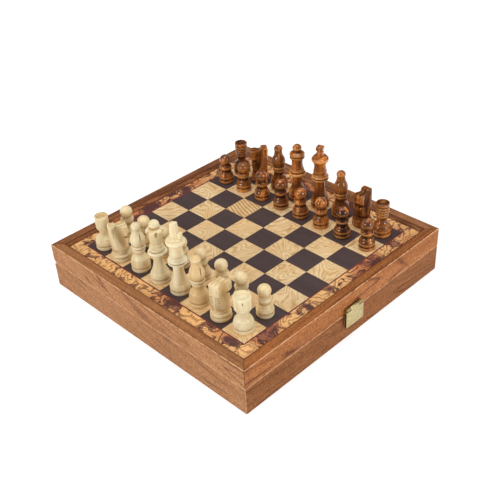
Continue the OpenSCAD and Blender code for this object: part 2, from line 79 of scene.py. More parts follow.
def heading(turn: float) -> Vector:
    """Return the level direction at a turn in degrees."""
    return Vector((math.cos(math.radians(turn)), math.sin(math.radians(turn)), 0))


class Axis(Enum):
    """The way a grain runs, by the turn that lays it there from X."""

    X = (0.0, 0.0, 0.0)
    Y = (0.0, 0.0, math.pi / 2)
    Z = (0.0, math.pi / 2, 0.0)


class Army(Enum):
    """The two sides of the game, by the start of their nodes' names."""

    WHITE = "white"
    BLACK = "black"


# Node helpers


class Sheet:
    """A node tree with short ways to add the nodes that these finishes are made of."""

    def __init__(self, tree: bpy.types.NodeTree) -> None:
        """Keep the tree that the nodes go into."""
        self.tree = tree

    def node(self, kind: str, given: dict[str | int, object] | None = None,
             **settings: object) -> bpy.types.Node:
        """Add a shader node.

        Args:
            kind: The node's type name after ShaderNode.
            given: What its inputs take, by name or place.
            **settings: Attributes to set on it.

        Returns:
            The new node.
        """
        made = self.tree.nodes.new(f"ShaderNode{kind}")
        for key, value in settings.items():
            setattr(made, key, value)
        for key, value in (given or {}).items():
            self.feed(made.inputs[key], value)
        return made

    def feed(self, socket: Socket, value: object) -> None:
        """Link an output to a socket, or set the socket's own value.

        Args:
            socket: The input.
            value: An output socket or a plain value.
        """
        if isinstance(value, Socket):
            self.tree.links.new(value, socket)
        elif isinstance(value, tuple) and socket.type == "RGBA":
            socket.default_value = (*value, 1.0)
        else:
            socket.default_value = value

    def here(self) -> Socket:
        """Return the point on the piece, in metres."""
        return self.node("TexCoord").outputs["Object"]

    def maths(self, operation: str, *values: object) -> Socket:
        """Add a Math node and return its result."""
        return self.node("Math", dict(enumerate(values)), operation=operation).outputs[0]

    def vector(self, operation: str, *values: object) -> Socket:
        """Add a Vector Math node and return its vector."""
        return self.node("VectorMath", dict(enumerate(values)), operation=operation).outputs[0]

    def times(self, first: object, second: object) -> Socket:
        """Multiply two values."""
        return self.maths("MULTIPLY", first, second)

    def apart(self, first: object, second: object) -> Socket:
        """Return how far two values are from each other."""
        return self.maths("ABSOLUTE", self.maths("SUBTRACT", first, second))

    def reach(self, first: object, second: object) -> Socket:
        """Return the larger of two values, whatever their signs."""
        return self.maths("MAXIMUM", self.maths("ABSOLUTE", first), self.maths("ABSOLUTE", second))

    def wave(self, value: object, waves: object) -> Socket:
        """Turn a value into a wave from 0 to 1."""
        sine = self.maths("SINE", self.times(value, waves))
        return self.maths("MULTIPLY_ADD", sine, 0.5, 0.5)

    def split(self, vector: object) -> tuple[Socket, ...]:
        """Return the X, Y and Z of a vector."""
        return tuple(self.node("SeparateXYZ", {0: vector}).outputs)

    def mapped(self, vector: object, size: Sequence[float] = (1, 1, 1), place: Sequence[float] = (0, 0, 0),
               turn: Sequence[float] = (0, 0, 0)) -> Socket:
        """Stretch, turn and move a vector.

        Args:
            vector: The vector to map.
            size: The stretch along each axis.
            place: The shift.
            turn: The turn about each axis, in radians.

        Returns:
            The mapped vector.
        """
        given = {"Vector": vector, "Location": place, "Rotation": turn, "Scale": size}
        return self.node("Mapping", given).outputs[0]

    def noise(self, vector: object, scale: object, detail: float = 3.0, rough: float = 0.55,
              distortion: float = 0.0) -> Socket:
        """Add a noise and return its value.

        Args:
            vector: Where it is read, in metres.
            scale: Waves per metre.
            detail: Octaves of finer noise.
            rough: How strong the finer octaves are.
            distortion: How far it is warped.

        Returns:
            The noise from 0 to 1.
        """
        given = {"Vector": vector, "Scale": scale, "Detail": detail, "Roughness": rough,
                 "Distortion": distortion}
        return self.node("TexNoise", given).outputs["Fac"]

    def streaks(self, vector: object, stretch: float, scale: float, detail: float, rough: float = 0.55,
                place: Sequence[float] = (0, 0, 0)) -> Socket:
        """Add a noise that is drawn out along X, and return its value."""
        return self.noise(self.mapped(vector, (stretch, 1, 1), place), scale, detail, rough)

    def warped(self, vector: object, read: object, scale: float, detail: float, depth: object) -> Socket:
        """Shift a vector to and fro by a noise.

        Args:
            vector: The vector to shift.
            read: Where the noise is read.
            scale: Waves per metre.
            detail: Octaves of finer noise.
            depth: How far it is shifted.

        Returns:
            The warped vector.
        """
        noise = self.node("TexNoise", {"Vector": read, "Scale": scale, "Detail": detail})
        centred = self.vector("SUBTRACT", noise.outputs["Color"], (0.5, 0.5, 0.5))
        shift = self.node("VectorMath", {0: centred, "Scale": depth}, operation="SCALE")
        return self.vector("ADD", vector, shift.outputs[0])

    def chance(self, vector: object, side: float) -> bpy.types.NodeOutputs:
        """Draw a Value and a Color for each square of a board, from its place."""
        cell = self.vector("FLOOR", self.vector("DIVIDE", vector, (side, side, 1.0)))
        return self.node("TexWhiteNoise", {"Vector": cell}, noise_dimensions="3D").outputs

    def span(self, value: object, low: float, high: float, to_low: float = 0.0,
             to_high: float = 1.0) -> Socket:
        """Stretch a range of a value smoothly onto another range.

        Args:
            value: The value.
            low: Where the range starts.
            high: Where it ends.
            to_low: What the start becomes.
            to_high: What the end becomes.

        Returns:
            The value in the new range.
        """
        given = {"Value": value, "From Min": low, "From Max": high, "To Min": to_low, "To Max": to_high}
        return self.node("MapRange", given, interpolation_type="SMOOTHSTEP").outputs["Result"]

    def relief(self, height: object, depth: float, strength: float) -> Socket:
        """Return the normal of a fine relief, whose depth is in metres."""
        given = {"Strength": strength, "Distance": depth, "Height": height}
        return self.node("Bump", given).outputs["Normal"]

    def group(self, effect: Effect, **values: object) -> bpy.types.NodeOutputs:
        """Place a shared node group with its inputs, and return its outputs."""
        return self.node("Group", values, node_tree=effect.get()).outputs


class Layers:
    """A colour that others are laid over, one after another."""

    def __init__(self, sheet: Sheet, ground: object) -> None:
        """Start with the ground colour."""
        self.sheet = sheet
        self.colour = ground

    def lay(self, colour: object, share: object, times: float | None = None) -> Layers:
        """Lay a colour over the others.

        Args:
            colour: The colour.
            share: How much of it shows, from 0 to 1.
            times: What the share is multiplied by first.

        Returns:
            The same layers.
        """
        if times is not None:
            share = self.sheet.times(share, times)
        mix = self.sheet.node("Mix", {"Factor": share, 6: self.colour, 7: colour}, data_type="RGBA")
        self.colour = mix.outputs[2]
        return self

    def spread(self, colour: object, value: object, *ends: float) -> Layers:
        """Lay a colour over by a value, whose range is stretched as in Sheet.span."""
        return self.lay(colour, self.sheet.span(value, *ends))


class Effect:
    """A shader node group that several finishes share, built once."""

    def __init__(self, name: str, inputs: dict[str, float | None], outputs: Sequence[str],
                 build: Callable[[Sheet, dict[str, Socket]], dict[str, Socket]]) -> None:
        """Keep what the group takes, gives and how it is built.

        Args:
            name: The group's name.
            inputs: The first value of each input by name, or None for a vector.
            outputs: The names of the values that it puts out.
            build: Takes the sheet and the input sockets and returns the output sockets by name.
        """
        self.name = name
        self.inputs = inputs
        self.outputs = outputs
        self.build = build
        self.tree: bpy.types.NodeTree | None = None

    def get(self) -> bpy.types.NodeTree:
        """Build the group the first time, and return it."""
        if self.tree is None:
            tree = bpy.data.node_groups.new(self.name, "ShaderNodeTree")
            for name, value in self.inputs.items():
                kind = "NodeSocketVector" if value is None else "NodeSocketFloat"
                socket = tree.interface.new_socket(name, in_out="INPUT", socket_type=kind)
                if value is not None:
                    socket.default_value = value
            for name in self.outputs:
                tree.interface.new_socket(name, in_out="OUTPUT", socket_type="NodeSocketFloat")
            start = tree.nodes.new("NodeGroupInput")
            end = tree.nodes.new("NodeGroupOutput")
            sheet = Sheet(tree)
            made = self.build(sheet, {s.name: s for s in start.outputs if s.name})
            for name, value in made.items():
                sheet.feed(end.inputs[name], value)
            self.tree = tree
        return self.tree


def build_grain(sheet: Sheet, given: dict[str, Socket]) -> dict[str, Socket]:
    """Long grain along X, which may climb: broad streaks, growth lines, mottle, fine fibres and pores."""
    along = sheet.split(given["Vector"])[0]
    slope = sheet.maths("ADD", given["Lean"], sheet.times(given["Bow"], along))
    climb = sheet.node("CombineXYZ", {2: sheet.times(slope, along)})
    place = sheet.vector("ADD", given["Vector"], climb.outputs[0])
    bent = sheet.warped(place, sheet.mapped(place, (0.14, 1, 1)), 24.0, 1.0, 0.014)
    height = sheet.streaks(bent, 0.09, 27.0, 1.4, 0.4, (3, 1, 2))
    pores = sheet.streaks(place, 0.11, 1900.0, 1.0, 0.5, (4, 2, 7))
    return {
        "Streaks": sheet.streaks(bent, 0.06, 120.0, 3.0, 0.6),
        "Lines": sheet.maths("POWER", sheet.wave(height, given["Lines"]), 6.0),
        "Mottle": sheet.streaks(place, 0.24, 560.0, 2.5, 0.7, (2, 8, 3)),
        "Fibres": sheet.streaks(place, 0.035, 1500.0, 2.0, 0.6, (1, 5, 2)),
        "Pores": sheet.span(pores, 0.60, 0.72),
    }


def build_swirl(sheet: Sheet, given: dict[str, Socket]) -> dict[str, Socket]:
    """Height lines of a warped field, as burl and crown-cut veneer show them."""
    warped = sheet.warped(given["Vector"], given["Vector"], 70.0, 2.0, given["Warp"])
    level = sheet.wave(sheet.noise(warped, given["Scale"], 1.5, 0.45), given["Lines"])
    return {"Level": level, "Edge": sheet.maths("POWER", level, 16.0)}


def build_arris(sheet: Sheet, given: dict[str, Socket]) -> dict[str, Socket]:
    """Where a square frame's outer edge meets a level: 1 on the arris and 0 away from it."""
    x, y, z = sheet.split(given["Vector"])
    out = sheet.apart(sheet.reach(x, y), given["Half"])
    far = sheet.maths("MAXIMUM", out, sheet.apart(z, given["Level"]))
    wander = sheet.noise(given["Vector"], 210.0, 3.0, 0.6)
    width = sheet.times(given["Width"], sheet.span(wander, 0.3, 0.7, 0.55, 1.25))
    return {"Mask": sheet.maths("LESS_THAN", far, width)}


def build_mitre(sheet: Sheet, given: dict[str, Socket]) -> dict[str, Socket]:
    """The thin line where two rails meet at a corner, a little uneven."""
    x, y, _ = sheet.split(given["Vector"])
    off = sheet.maths("SUBTRACT", sheet.maths("ABSOLUTE", x), sheet.maths("ABSOLUTE", y))
    wander = sheet.maths("SUBTRACT", sheet.noise(given["Vector"], 420.0, 2.0, 0.5), 0.5)
    far = sheet.maths("ABSOLUTE", sheet.maths("ADD", off, sheet.times(wander, 0.0008)))
    return {"Mask": sheet.maths("LESS_THAN", far, given["Width"])}


GRAIN = Effect("long_grain", {"Vector": None, "Lines": 60.0, "Lean": 0.0, "Bow": 0.0},
               ["Streaks", "Lines", "Mottle", "Fibres", "Pores"], build_grain)
SWIRL = Effect("swirl_figure", {"Vector": None, "Scale": 60.0, "Lines": 40.0, "Warp": 0.01},
               ["Level", "Edge"], build_swirl)
ARRIS = Effect("arris_wear_and_highlight", {"Vector": None, "Half": 0.135, "Level": 0.0, "Width": 0.00065},
               ["Mask"], build_arris)
MITRE = Effect("mitre_line", {"Vector": None, "Width": 0.00032}, ["Mask"], build_mitre)


# Finishes


class Finish:
    """What every finish shares: a named material with one Principled shader."""

    name: str

    def look(self, sheet: Sheet) -> dict[str, object]:
        """Set out the nodes of the finish.

        Args:
            sheet: The material's sheet.

        Returns:
            What the shader's sockets take, by name.
        """
        raise NotImplementedError

    def make(self) -> Material:
        """Build the material."""
        material = bpy.data.materials.new(self.name)
        material.use_nodes = True
        sheet = Sheet(material.node_tree)
        shader = material.node_tree.nodes["Principled BSDF"]
        for key, value in self.look(sheet).items():
            sheet.feed(shader.inputs[key], value)
        return material


@dataclass(frozen=True)
class Board:
    """One side's board of walnut, which was sawn into its lid rail and its base rail."""

    along: Axis
    shift: Point
    lean: float
    bow: float
    pale: Colour
    mid: Colour
    deep: Colour
    # How much darker the base rail's colours are drawn: a painted shade on the lower half of the box.
    base_painted_shade: float
    # How strongly the rim's top is darkened, a painted shade.
    crown: float

    def lower(self) -> Board:
        """Return the board for the base rail: its colours darkened, a painted shade on the lower rails, and
        without the painted shade on the top.
        """
        shades = {key: tuple(self.base_painted_shade * part for part in getattr(self, key))
                  for key in ("pale", "mid", "deep")}
        return replace(self, crown=0.0, **shades)


@dataclass(frozen=True)
class Walnut(Finish):
    """Oiled walnut, with lighter arrises that are partly wear and partly painted highlight, and the mitres at
    the corners. Measures are in metres.
    """

    name: str
    board: Board
    edges: tuple[float, ...]
    mitre: Colour = srgb(60, 38, 28)
    # The arrises' colour: partly worn wood, partly a painted highlight.
    arris: Colour = srgb(232, 182, 138)
    lines: float = 92.0
    top: tuple[float, float] = (0.0482, 0.0488)
    # The height band of the rim's top that is darkened as painted shade.
    crest: tuple[float, float] = (0.04855, 0.04895)
    # Where the inner slope is darkened as painted shade, and where its painted shadow lines run.
    slope: tuple[float, float] = (0.1253, 0.1248)
    slope_shadow_lines: tuple[float, ...] = (0.1251, 0.1218)

    def look(self, sheet: Sheet) -> dict[str, object]:
        """Set out the walnut.

        Args:
            sheet: The material's sheet.

        Returns:
            What the shader's sockets take, by name.
        """
        here, board = sheet.here(), self.board
        place = sheet.mapped(here, place=board.shift, turn=board.along.value)
        grain = sheet.group(GRAIN, Vector=place, Lines=self.lines, Lean=board.lean, Bow=board.bow)
        wood = Layers(sheet, board.mid).spread(board.pale, grain["Streaks"], 0.24, 0.76, 0.1, 0.9)
        strength = sheet.span(sheet.noise(place, 26.0, 1.0), 0.38, 0.62, 0.22, 0.8)
        wood.lay(board.deep, sheet.times(sheet.maths("POWER", grain["Lines"], 2.6), strength))
        if board.crown:
            self.straight_top(sheet, here, wood)
        speckle = sheet.noise(sheet.mapped(here, place=(5, 3, 1)), 760.0, 2.0, 0.7)
        wood.spread(board.deep, speckle, 0.46, 0.66, 0.0, 0.56)
        wood.spread(board.pale, speckle, 0.46, 0.28, 0.0, 0.66)
        wood.spread(board.deep, grain["Mottle"], 0.46, 0.72, 0.0, 0.2)
        wood.spread(board.deep, grain["Fibres"], 0.35, 0.75, 0.0, 0.16)
        # The rim's top and inner slope are darkened here as painted shade, with painted shadow lines.
        if board.crown:
            self.painted_rim_shade(sheet, here, grain, wood)
        wood.lay(board.deep, grain["Pores"], 0.35)
        # The arrises are drawn lighter: partly wear, partly a painted highlight.
        for level in self.edges:
            wood.lay(self.arris, sheet.group(ARRIS, Vector=here, Level=level)["Mask"], 0.7)
        wood.lay(self.mitre, sheet.group(MITRE, Vector=here)["Mask"], 0.8)
        relief = sheet.maths("SUBTRACT", grain["Fibres"], grain["Pores"])
        return {"Base Color": wood.colour, "Specular IOR Level": 0.08,
                "Roughness": sheet.span(grain["Fibres"], 0.3, 0.7, 0.44, 0.58),
                "Normal": sheet.relief(relief, 0.00006, 0.6)}

    def straight_top(self, sheet: Sheet, here: Socket, wood: Layers) -> None:
        """Show the rim's top as a straight-grained edge of the board.

        Args:
            sheet: The material's sheet.
            here: The point on the piece.
            wood: The colour that it is laid over.
        """
        turned = sheet.mapped(here, place=(7, 3, 1), turn=self.board.along.value)
        broad = sheet.streaks(turned, 0.07, 150.0, 2.5, 0.6)
        plain = Layers(sheet, self.board.mid).lay(self.board.pale, 0.35)
        plain.spread(self.board.deep, broad, 0.40, 0.62, 0.0, 0.7)
        wood.spread(plain.colour, sheet.split(here)[2], *self.top, 0.0, 0.9)

    def painted_rim_shade(self, sheet: Sheet, here: Socket, grain: bpy.types.NodeOutputs, wood: Layers) -> None:
        """Paint shade on the rim: darken its top and its inner slope as painted shade, and draw thin painted
        shadow lines along the slope.

        Args:
            sheet: The material's sheet.
            here: The point on the piece.
            grain: What the grain puts out.
            wood: The colour that it is laid over.
        """
        deep = self.board.deep
        x, y, z = sheet.split(here)
        reach = sheet.reach(x, y)
        share = sheet.span(sheet.maths("ADD", sheet.noise(here, 9.0, 1.0), x), 0.35, 0.6, 0.45, 1.0)
        # The rim's top is darkened: painted shade.
        wood.lay(deep, sheet.times(sheet.span(z, *self.crest), share), self.board.crown)
        streaks = sheet.span(grain["Streaks"], 0.42, 0.58, 0.15, 0.75)
        # The inner slope is darkened: painted shade.
        wood.lay(deep, sheet.times(sheet.span(reach, *self.slope), streaks))
        # Thin dark lines at the slope's top and foot: painted shadow.
        for line in self.slope_shadow_lines:
            wood.spread(deep, sheet.apart(reach, line), 0.0003, 0.0006, 0.8, 0.0)


@dataclass(frozen=True)
class LightVeneer(Finish):
    """Pale figured veneer. Each square is cut from another place of the leaf."""

    name: str = "light_figured_veneer"
    square: float = 0.0272
    pale: Colour = srgb(243, 213, 165)
    warm: Colour = srgb(230, 191, 135)
    line: Colour = srgb(166, 116, 60)
    band: Colour = srgb(200, 150, 86)
    zebra: tuple[float, float] = (0.0408, 0.0408)
    widest_turn: float = 6.28

    def look(self, sheet: Sheet) -> dict[str, object]:
        """Set out the pale veneer.

        Args:
            sheet: The material's sheet.

        Returns:
            What the shader's sockets take, by name.
        """
        here = sheet.here()
        chance = sheet.chance(here, self.square)
        angle = sheet.times(chance["Value"], self.widest_turn)
        turned = sheet.node("VectorRotate", {"Vector": here, "Angle": angle}, rotation_type="Z_AXIS")
        leaf = sheet.vector("ADD", turned.outputs[0], chance["Color"])
        closeness = sheet.span(chance["Value"], 0.0, 1.0, 120.0, 240.0)
        swirl = sheet.group(SWIRL, Vector=sheet.mapped(leaf, (0.42, 1, 1)), Scale=38.0, Lines=closeness,
                            Warp=0.012)
        clouds = sheet.noise(leaf, 60.0, 2.0)
        wood = Layers(sheet, self.pale).spread(self.warm, clouds, 0.34, 0.66, 0.0, 0.75)
        wood.spread(self.band, swirl["Level"], 0.2, 1.0, 0.0, 0.42)
        strength = sheet.span(sheet.noise(leaf, 90.0, 2.0), 0.32, 0.60, 0.14, 0.56)
        wood.lay(self.line, sheet.times(swirl["Edge"], strength))
        flecks = sheet.streaks(leaf, 0.25, 1100.0, 2.0, place=(2, 0, 0))
        wood.spread(self.line, flecks, 0.5, 0.8, 0.0, 0.26)
        wood.spread(self.warm, chance["Value"], 0.0, 1.0, 0.0, 0.3)
        self.stripe(sheet, here, wood)
        return {"Base Color": wood.colour, "Specular IOR Level": 0.35,
                "Roughness": sheet.span(flecks, 0.3, 0.7, 0.42, 0.52),
                "Normal": sheet.relief(flecks, 0.00003, 0.4)}

    def stripe(self, sheet: Sheet, here: Socket, wood: Layers) -> None:
        """Give the one square that was cut on the quarter its close straight lines.

        Args:
            sheet: The material's sheet.
            here: The point on the piece.
            wood: The colour that they are laid over.
        """
        x, y, _ = sheet.split(sheet.vector("SUBTRACT", here, (*self.zebra, 0.0)))
        inside = sheet.maths("LESS_THAN", sheet.reach(x, y), self.square / 2)
        across = sheet.maths("MULTIPLY_ADD", x, 0.94, sheet.times(y, -0.34))
        wander = sheet.times(sheet.noise(here, 60.0, 1.0), 0.004)
        lines = sheet.maths("POWER", sheet.wave(sheet.maths("ADD", across, wander), 1700.0), 3.0)
        wood.lay(self.line, sheet.times(lines, inside))


@dataclass(frozen=True)
class DarkVeneer(Finish):
    """Nearly black matt veneer with a faint straight grain and a purple tint."""

    name: str = "dark_dyed_veneer"
    square: float = 0.0272
    dark: Colour = srgb(70, 55, 54)
    lighter: Colour = srgb(88, 70, 67)

    def look(self, sheet: Sheet) -> dict[str, object]:
        """Set out the dark veneer.

        Args:
            sheet: The material's sheet.

        Returns:
            What the shader's sockets take, by name.
        """
        here = sheet.here()
        chance = sheet.chance(here, self.square)
        leaf = sheet.vector("ADD", here, chance["Color"])
        grain = sheet.group(GRAIN, Vector=sheet.mapped(leaf, turn=Axis.Y.value), Lines=40.0)
        wood = Layers(sheet, self.dark).spread(self.lighter, grain["Streaks"], 0.3, 0.7, 0.0, 0.5)
        wood.spread(self.lighter, grain["Mottle"], 0.4, 0.75, 0.0, 0.4)
        wood.spread(self.dark, grain["Fibres"], 0.4, 0.75, 0.0, 0.3)
        wood.lay(self.dark, chance["Value"], 0.35)
        return {"Base Color": wood.colour, "Specular IOR Level": 0.3,
                "Roughness": sheet.span(grain["Fibres"], 0.3, 0.7, 0.5, 0.62),
                "Normal": sheet.relief(grain["Fibres"], 0.00003, 0.4)}


@dataclass(frozen=True)
class BurlVeneer(Finish):
    """Orange-gold burl with dark veins and islands."""

    name: str = "burl_veneer"
    gold: Colour = srgb(248, 194, 126)
    rust: Colour = srgb(198, 124, 74)
    shade: Colour = srgb(132, 76, 62)
    vein: Colour = srgb(66, 34, 40)

    def look(self, sheet: Sheet) -> dict[str, object]:
        """Set out the burl.

        Args:
            sheet: The material's sheet.

        Returns:
            What the shader's sockets take, by name.
        """
        here = sheet.here()
        region = sheet.noise(here, 17.0, 1.5)
        swirl = sheet.group(SWIRL, Vector=here, Scale=34.0, Lines=88.0, Warp=0.016)["Level"]
        knots = sheet.noise(sheet.warped(here, here, 110.0, 2.0, 0.014), 64.0, 1.2, 0.5)
        fibres = sheet.noise(sheet.mapped(here, (0.3, 1, 1), turn=(0, 0, 0.6)), 700.0, 3.0)
        wood = Layers(sheet, self.gold).spread(self.rust, region, 0.44, 0.60)
        wood.spread(self.rust, swirl, 0.3, 1.0, 0.0, 0.5)
        wood.spread(self.shade, fibres, 0.45, 0.8, 0.0, 0.4)
        thick = sheet.maths("POWER", swirl, 6.0)
        wood.lay(self.vein, sheet.times(thick, sheet.span(region, 0.36, 0.56, 0.35, 0.95)))
        level = sheet.maths("MULTIPLY_ADD", region, 0.45, sheet.maths("SUBTRACT", knots, 0.225))
        islands = sheet.span(level, 0.525, 0.545)
        wood.lay(self.shade, islands, 0.75)
        wood.lay(self.vein, sheet.span(level, 0.585, 0.63), 0.8)
        wood.lay(self.vein, sheet.times(islands, sheet.span(level, 0.575, 0.55)), 0.9)
        return {"Base Color": wood.colour, "Specular IOR Level": 0.35,
                "Roughness": sheet.span(fibres, 0.3, 0.7, 0.42, 0.52),
                "Normal": sheet.relief(fibres, 0.00003, 0.4)}


@dataclass(frozen=True)
class StraightWood(Finish):
    """A plain straight-grained wood, for the dark line, the bottom panel and the board's core."""

    name: str
    along: Axis
    light: Colour
    dark: Colour

    def look(self, sheet: Sheet) -> dict[str, object]:
        """Set out the plain wood.

        Args:
            sheet: The material's sheet.

        Returns:
            What the shader's sockets take, by name.
        """
        place = sheet.mapped(sheet.here(), place=(1, 2, 0), turn=self.along.value)
        grain = sheet.group(GRAIN, Vector=place, Lines=38.0)
        wood = Layers(sheet, self.light).spread(self.dark, grain["Streaks"], 0.3, 0.7)
        wood.lay(self.dark, grain["Lines"], 0.35)
        wood.spread(self.dark, grain["Mottle"], 0.4, 0.75, 0.0, 0.3)
        wood.spread(self.dark, grain["Fibres"], 0.4, 0.75, 0.0, 0.4)
        return {"Base Color": wood.colour, "Roughness": sheet.span(grain["Fibres"], 0.3, 0.7, 0.5, 0.62),
                "Normal": sheet.relief(grain["Fibres"], 0.00005, 0.5)}


@dataclass(frozen=True)
class TurnedWood(Finish):
    """Wood of the men, with grain up the piece, darker hollows that are partly staining and partly painted
    shade, and lighter crests that are partly rubbed wear and partly painted highlight.

    The pieces carry three attributes: hollow and crest from their turned outline, and tone, the shade
    of the wood that each man was cut from.
    """

    name: str
    pale: Colour
    mid: Colour
    deep: Colour
    hollow: Colour
    crest: Colour
    warm: Colour
    rough: float
    coat: float
    gloss: float
    lines: float
    contrast: float
    warmth: float
    stain_and_shade: float

    def look(self, sheet: Sheet) -> dict[str, object]:
        """Set out the turned wood.

        Args:
            sheet: The material's sheet.

        Returns:
            What the shader's sockets take, by name.
        """
        here = sheet.here()
        grain = sheet.group(GRAIN, Vector=sheet.mapped(here, (0.9, 1.6, 1.6), turn=Axis.Z.value),
                            Lines=self.lines)
        tone, crest, hollow = (sheet.node("Attribute", attribute_name=name).outputs["Fac"]
                               for name in ("tone", "crest", "hollow"))
        patch = sheet.noise(here, 70.0, 2.0)
        wood = Layers(sheet, self.pale).spread(self.mid, grain["Streaks"], 0.40, 0.60)
        wood.lay(self.deep, grain["Lines"], self.contrast)
        wood.spread(self.deep, patch, 0.42, 0.66, 0.0, self.contrast)
        wood.spread(self.mid, grain["Mottle"], 0.42, 0.72, 0.0, self.contrast)
        wood.lay(self.warm, tone, self.warmth)
        # Crests are drawn lighter, partly rubbed wear and partly a painted highlight; hollows darker, partly
        # staining and partly painted shade.
        wood.lay(self.crest, crest, 0.8)
        wood.lay(self.hollow, hollow, self.stain_and_shade)
        return {"Base Color": wood.colour, "Specular IOR Level": 0.12, "Coat IOR": 1.42,
                "Roughness": sheet.span(patch, 0.35, 0.65, self.rough, self.rough + 0.08),
                "Coat Roughness": self.gloss,
                "Coat Weight": sheet.span(hollow, 0.1, 0.7, self.coat, 0.1 * self.coat),
                "Normal": sheet.relief(grain["Fibres"], 0.00003, 0.35)}


@dataclass(frozen=True)
class Metal(Finish):
    """Brushed or drawn metal, with fine lines along one way and duller patches.

    A plate, given by its front face's Y and its top's Z in metres, has its sides below the top painted
    darker, a painted shade.
    """

    name: str
    along: Axis
    bright: Colour
    dull: Colour
    rough: float
    # Where a plate's side faces are painted darker, and their colour: painted shade.
    plate: tuple[float, float] | None = None
    side: Colour = srgb(104, 78, 42)

    def look(self, sheet: Sheet) -> dict[str, object]:
        """Set out the metal.

        Args:
            sheet: The material's sheet.

        Returns:
            What the shader's sockets take, by name.
        """
        here = sheet.here()
        lines = sheet.noise(sheet.mapped(here, (0.04, 1, 1), turn=self.along.value), 4200.0, 3.0, 0.6)
        patch = sheet.noise(here, 240.0, 3.0)
        tone = sheet.maths("MULTIPLY_ADD", lines, 0.6, sheet.times(patch, 0.4))
        colour = Layers(sheet, self.bright).spread(self.dull, tone, 0.3, 0.7)
        # The plate's side faces below the knuckle take the darker colour: painted shade.
        if self.plate:
            front, top = self.plate
            _, y, z = sheet.split(here)
            behind = sheet.span(y, front + 0.0001, front + 0.0004)
            before = sheet.span(y, front + 0.0019, front + 0.0016)
            below = sheet.maths("LESS_THAN", z, top)
            colour.lay(self.side, sheet.times(sheet.times(behind, before), below))
        return {"Base Color": colour.colour, "Metallic": 1.0,
                "Roughness": sheet.span(tone, 0.3, 0.7, self.rough, self.rough + 0.16),
                "Normal": sheet.relief(lines, 0.00002, 0.3)}


@dataclass(frozen=True)
class Felt(Finish):
    """Short matted fibres with a soft nap."""

    name: str = "green_felt"
    light: Colour = srgb(44, 92, 62)
    dark: Colour = srgb(24, 62, 42)

    def look(self, sheet: Sheet) -> dict[str, object]:
        """Set out the felt.

        Args:
            sheet: The material's sheet.

        Returns:
            What the shader's sockets take, by name.
        """
        here = sheet.here()
        nap = sheet.noise(here, 2600.0, 4.0, 0.7, 0.6)
        tone = sheet.maths("MULTIPLY_ADD", nap, 0.6, sheet.times(sheet.noise(here, 28.0, 3.0), 0.4))
        return {"Base Color": Layers(sheet, self.dark).spread(self.light, tone, 0.35, 0.65).colour,
                "Roughness": sheet.span(nap, 0.3, 0.7, 0.86, 0.98),
                "Sheen Weight": 0.35, "Sheen Roughness": 0.5,
                "Normal": sheet.relief(nap, 0.0003, 0.7)}


@dataclass(frozen=True)
class PaleFloor(Finish):
    """The plain pale surface that the box stands on."""

    name: str = "pale_floor"
    tone: Colour = srgb(150, 150, 150)
    other: Colour = srgb(146, 146, 147)
    glow: float = 0.84

    def look(self, sheet: Sheet) -> dict[str, object]:
        """Set out the floor.

        Args:
            sheet: The material's sheet.

        Returns:
            What the shader's sockets take, by name.
        """
        fine = sheet.noise(sheet.here(), 60.0, 2.0)
        return {"Base Color": Layers(sheet, self.tone).spread(self.other, fine, 0.3, 0.7).colour,
                "Roughness": sheet.span(fine, 0.3, 0.7, 0.8, 0.86),
                "Emission Color": (1.0, 1.0, 1.0), "Emission Strength": self.glow}


# Modelling by hand


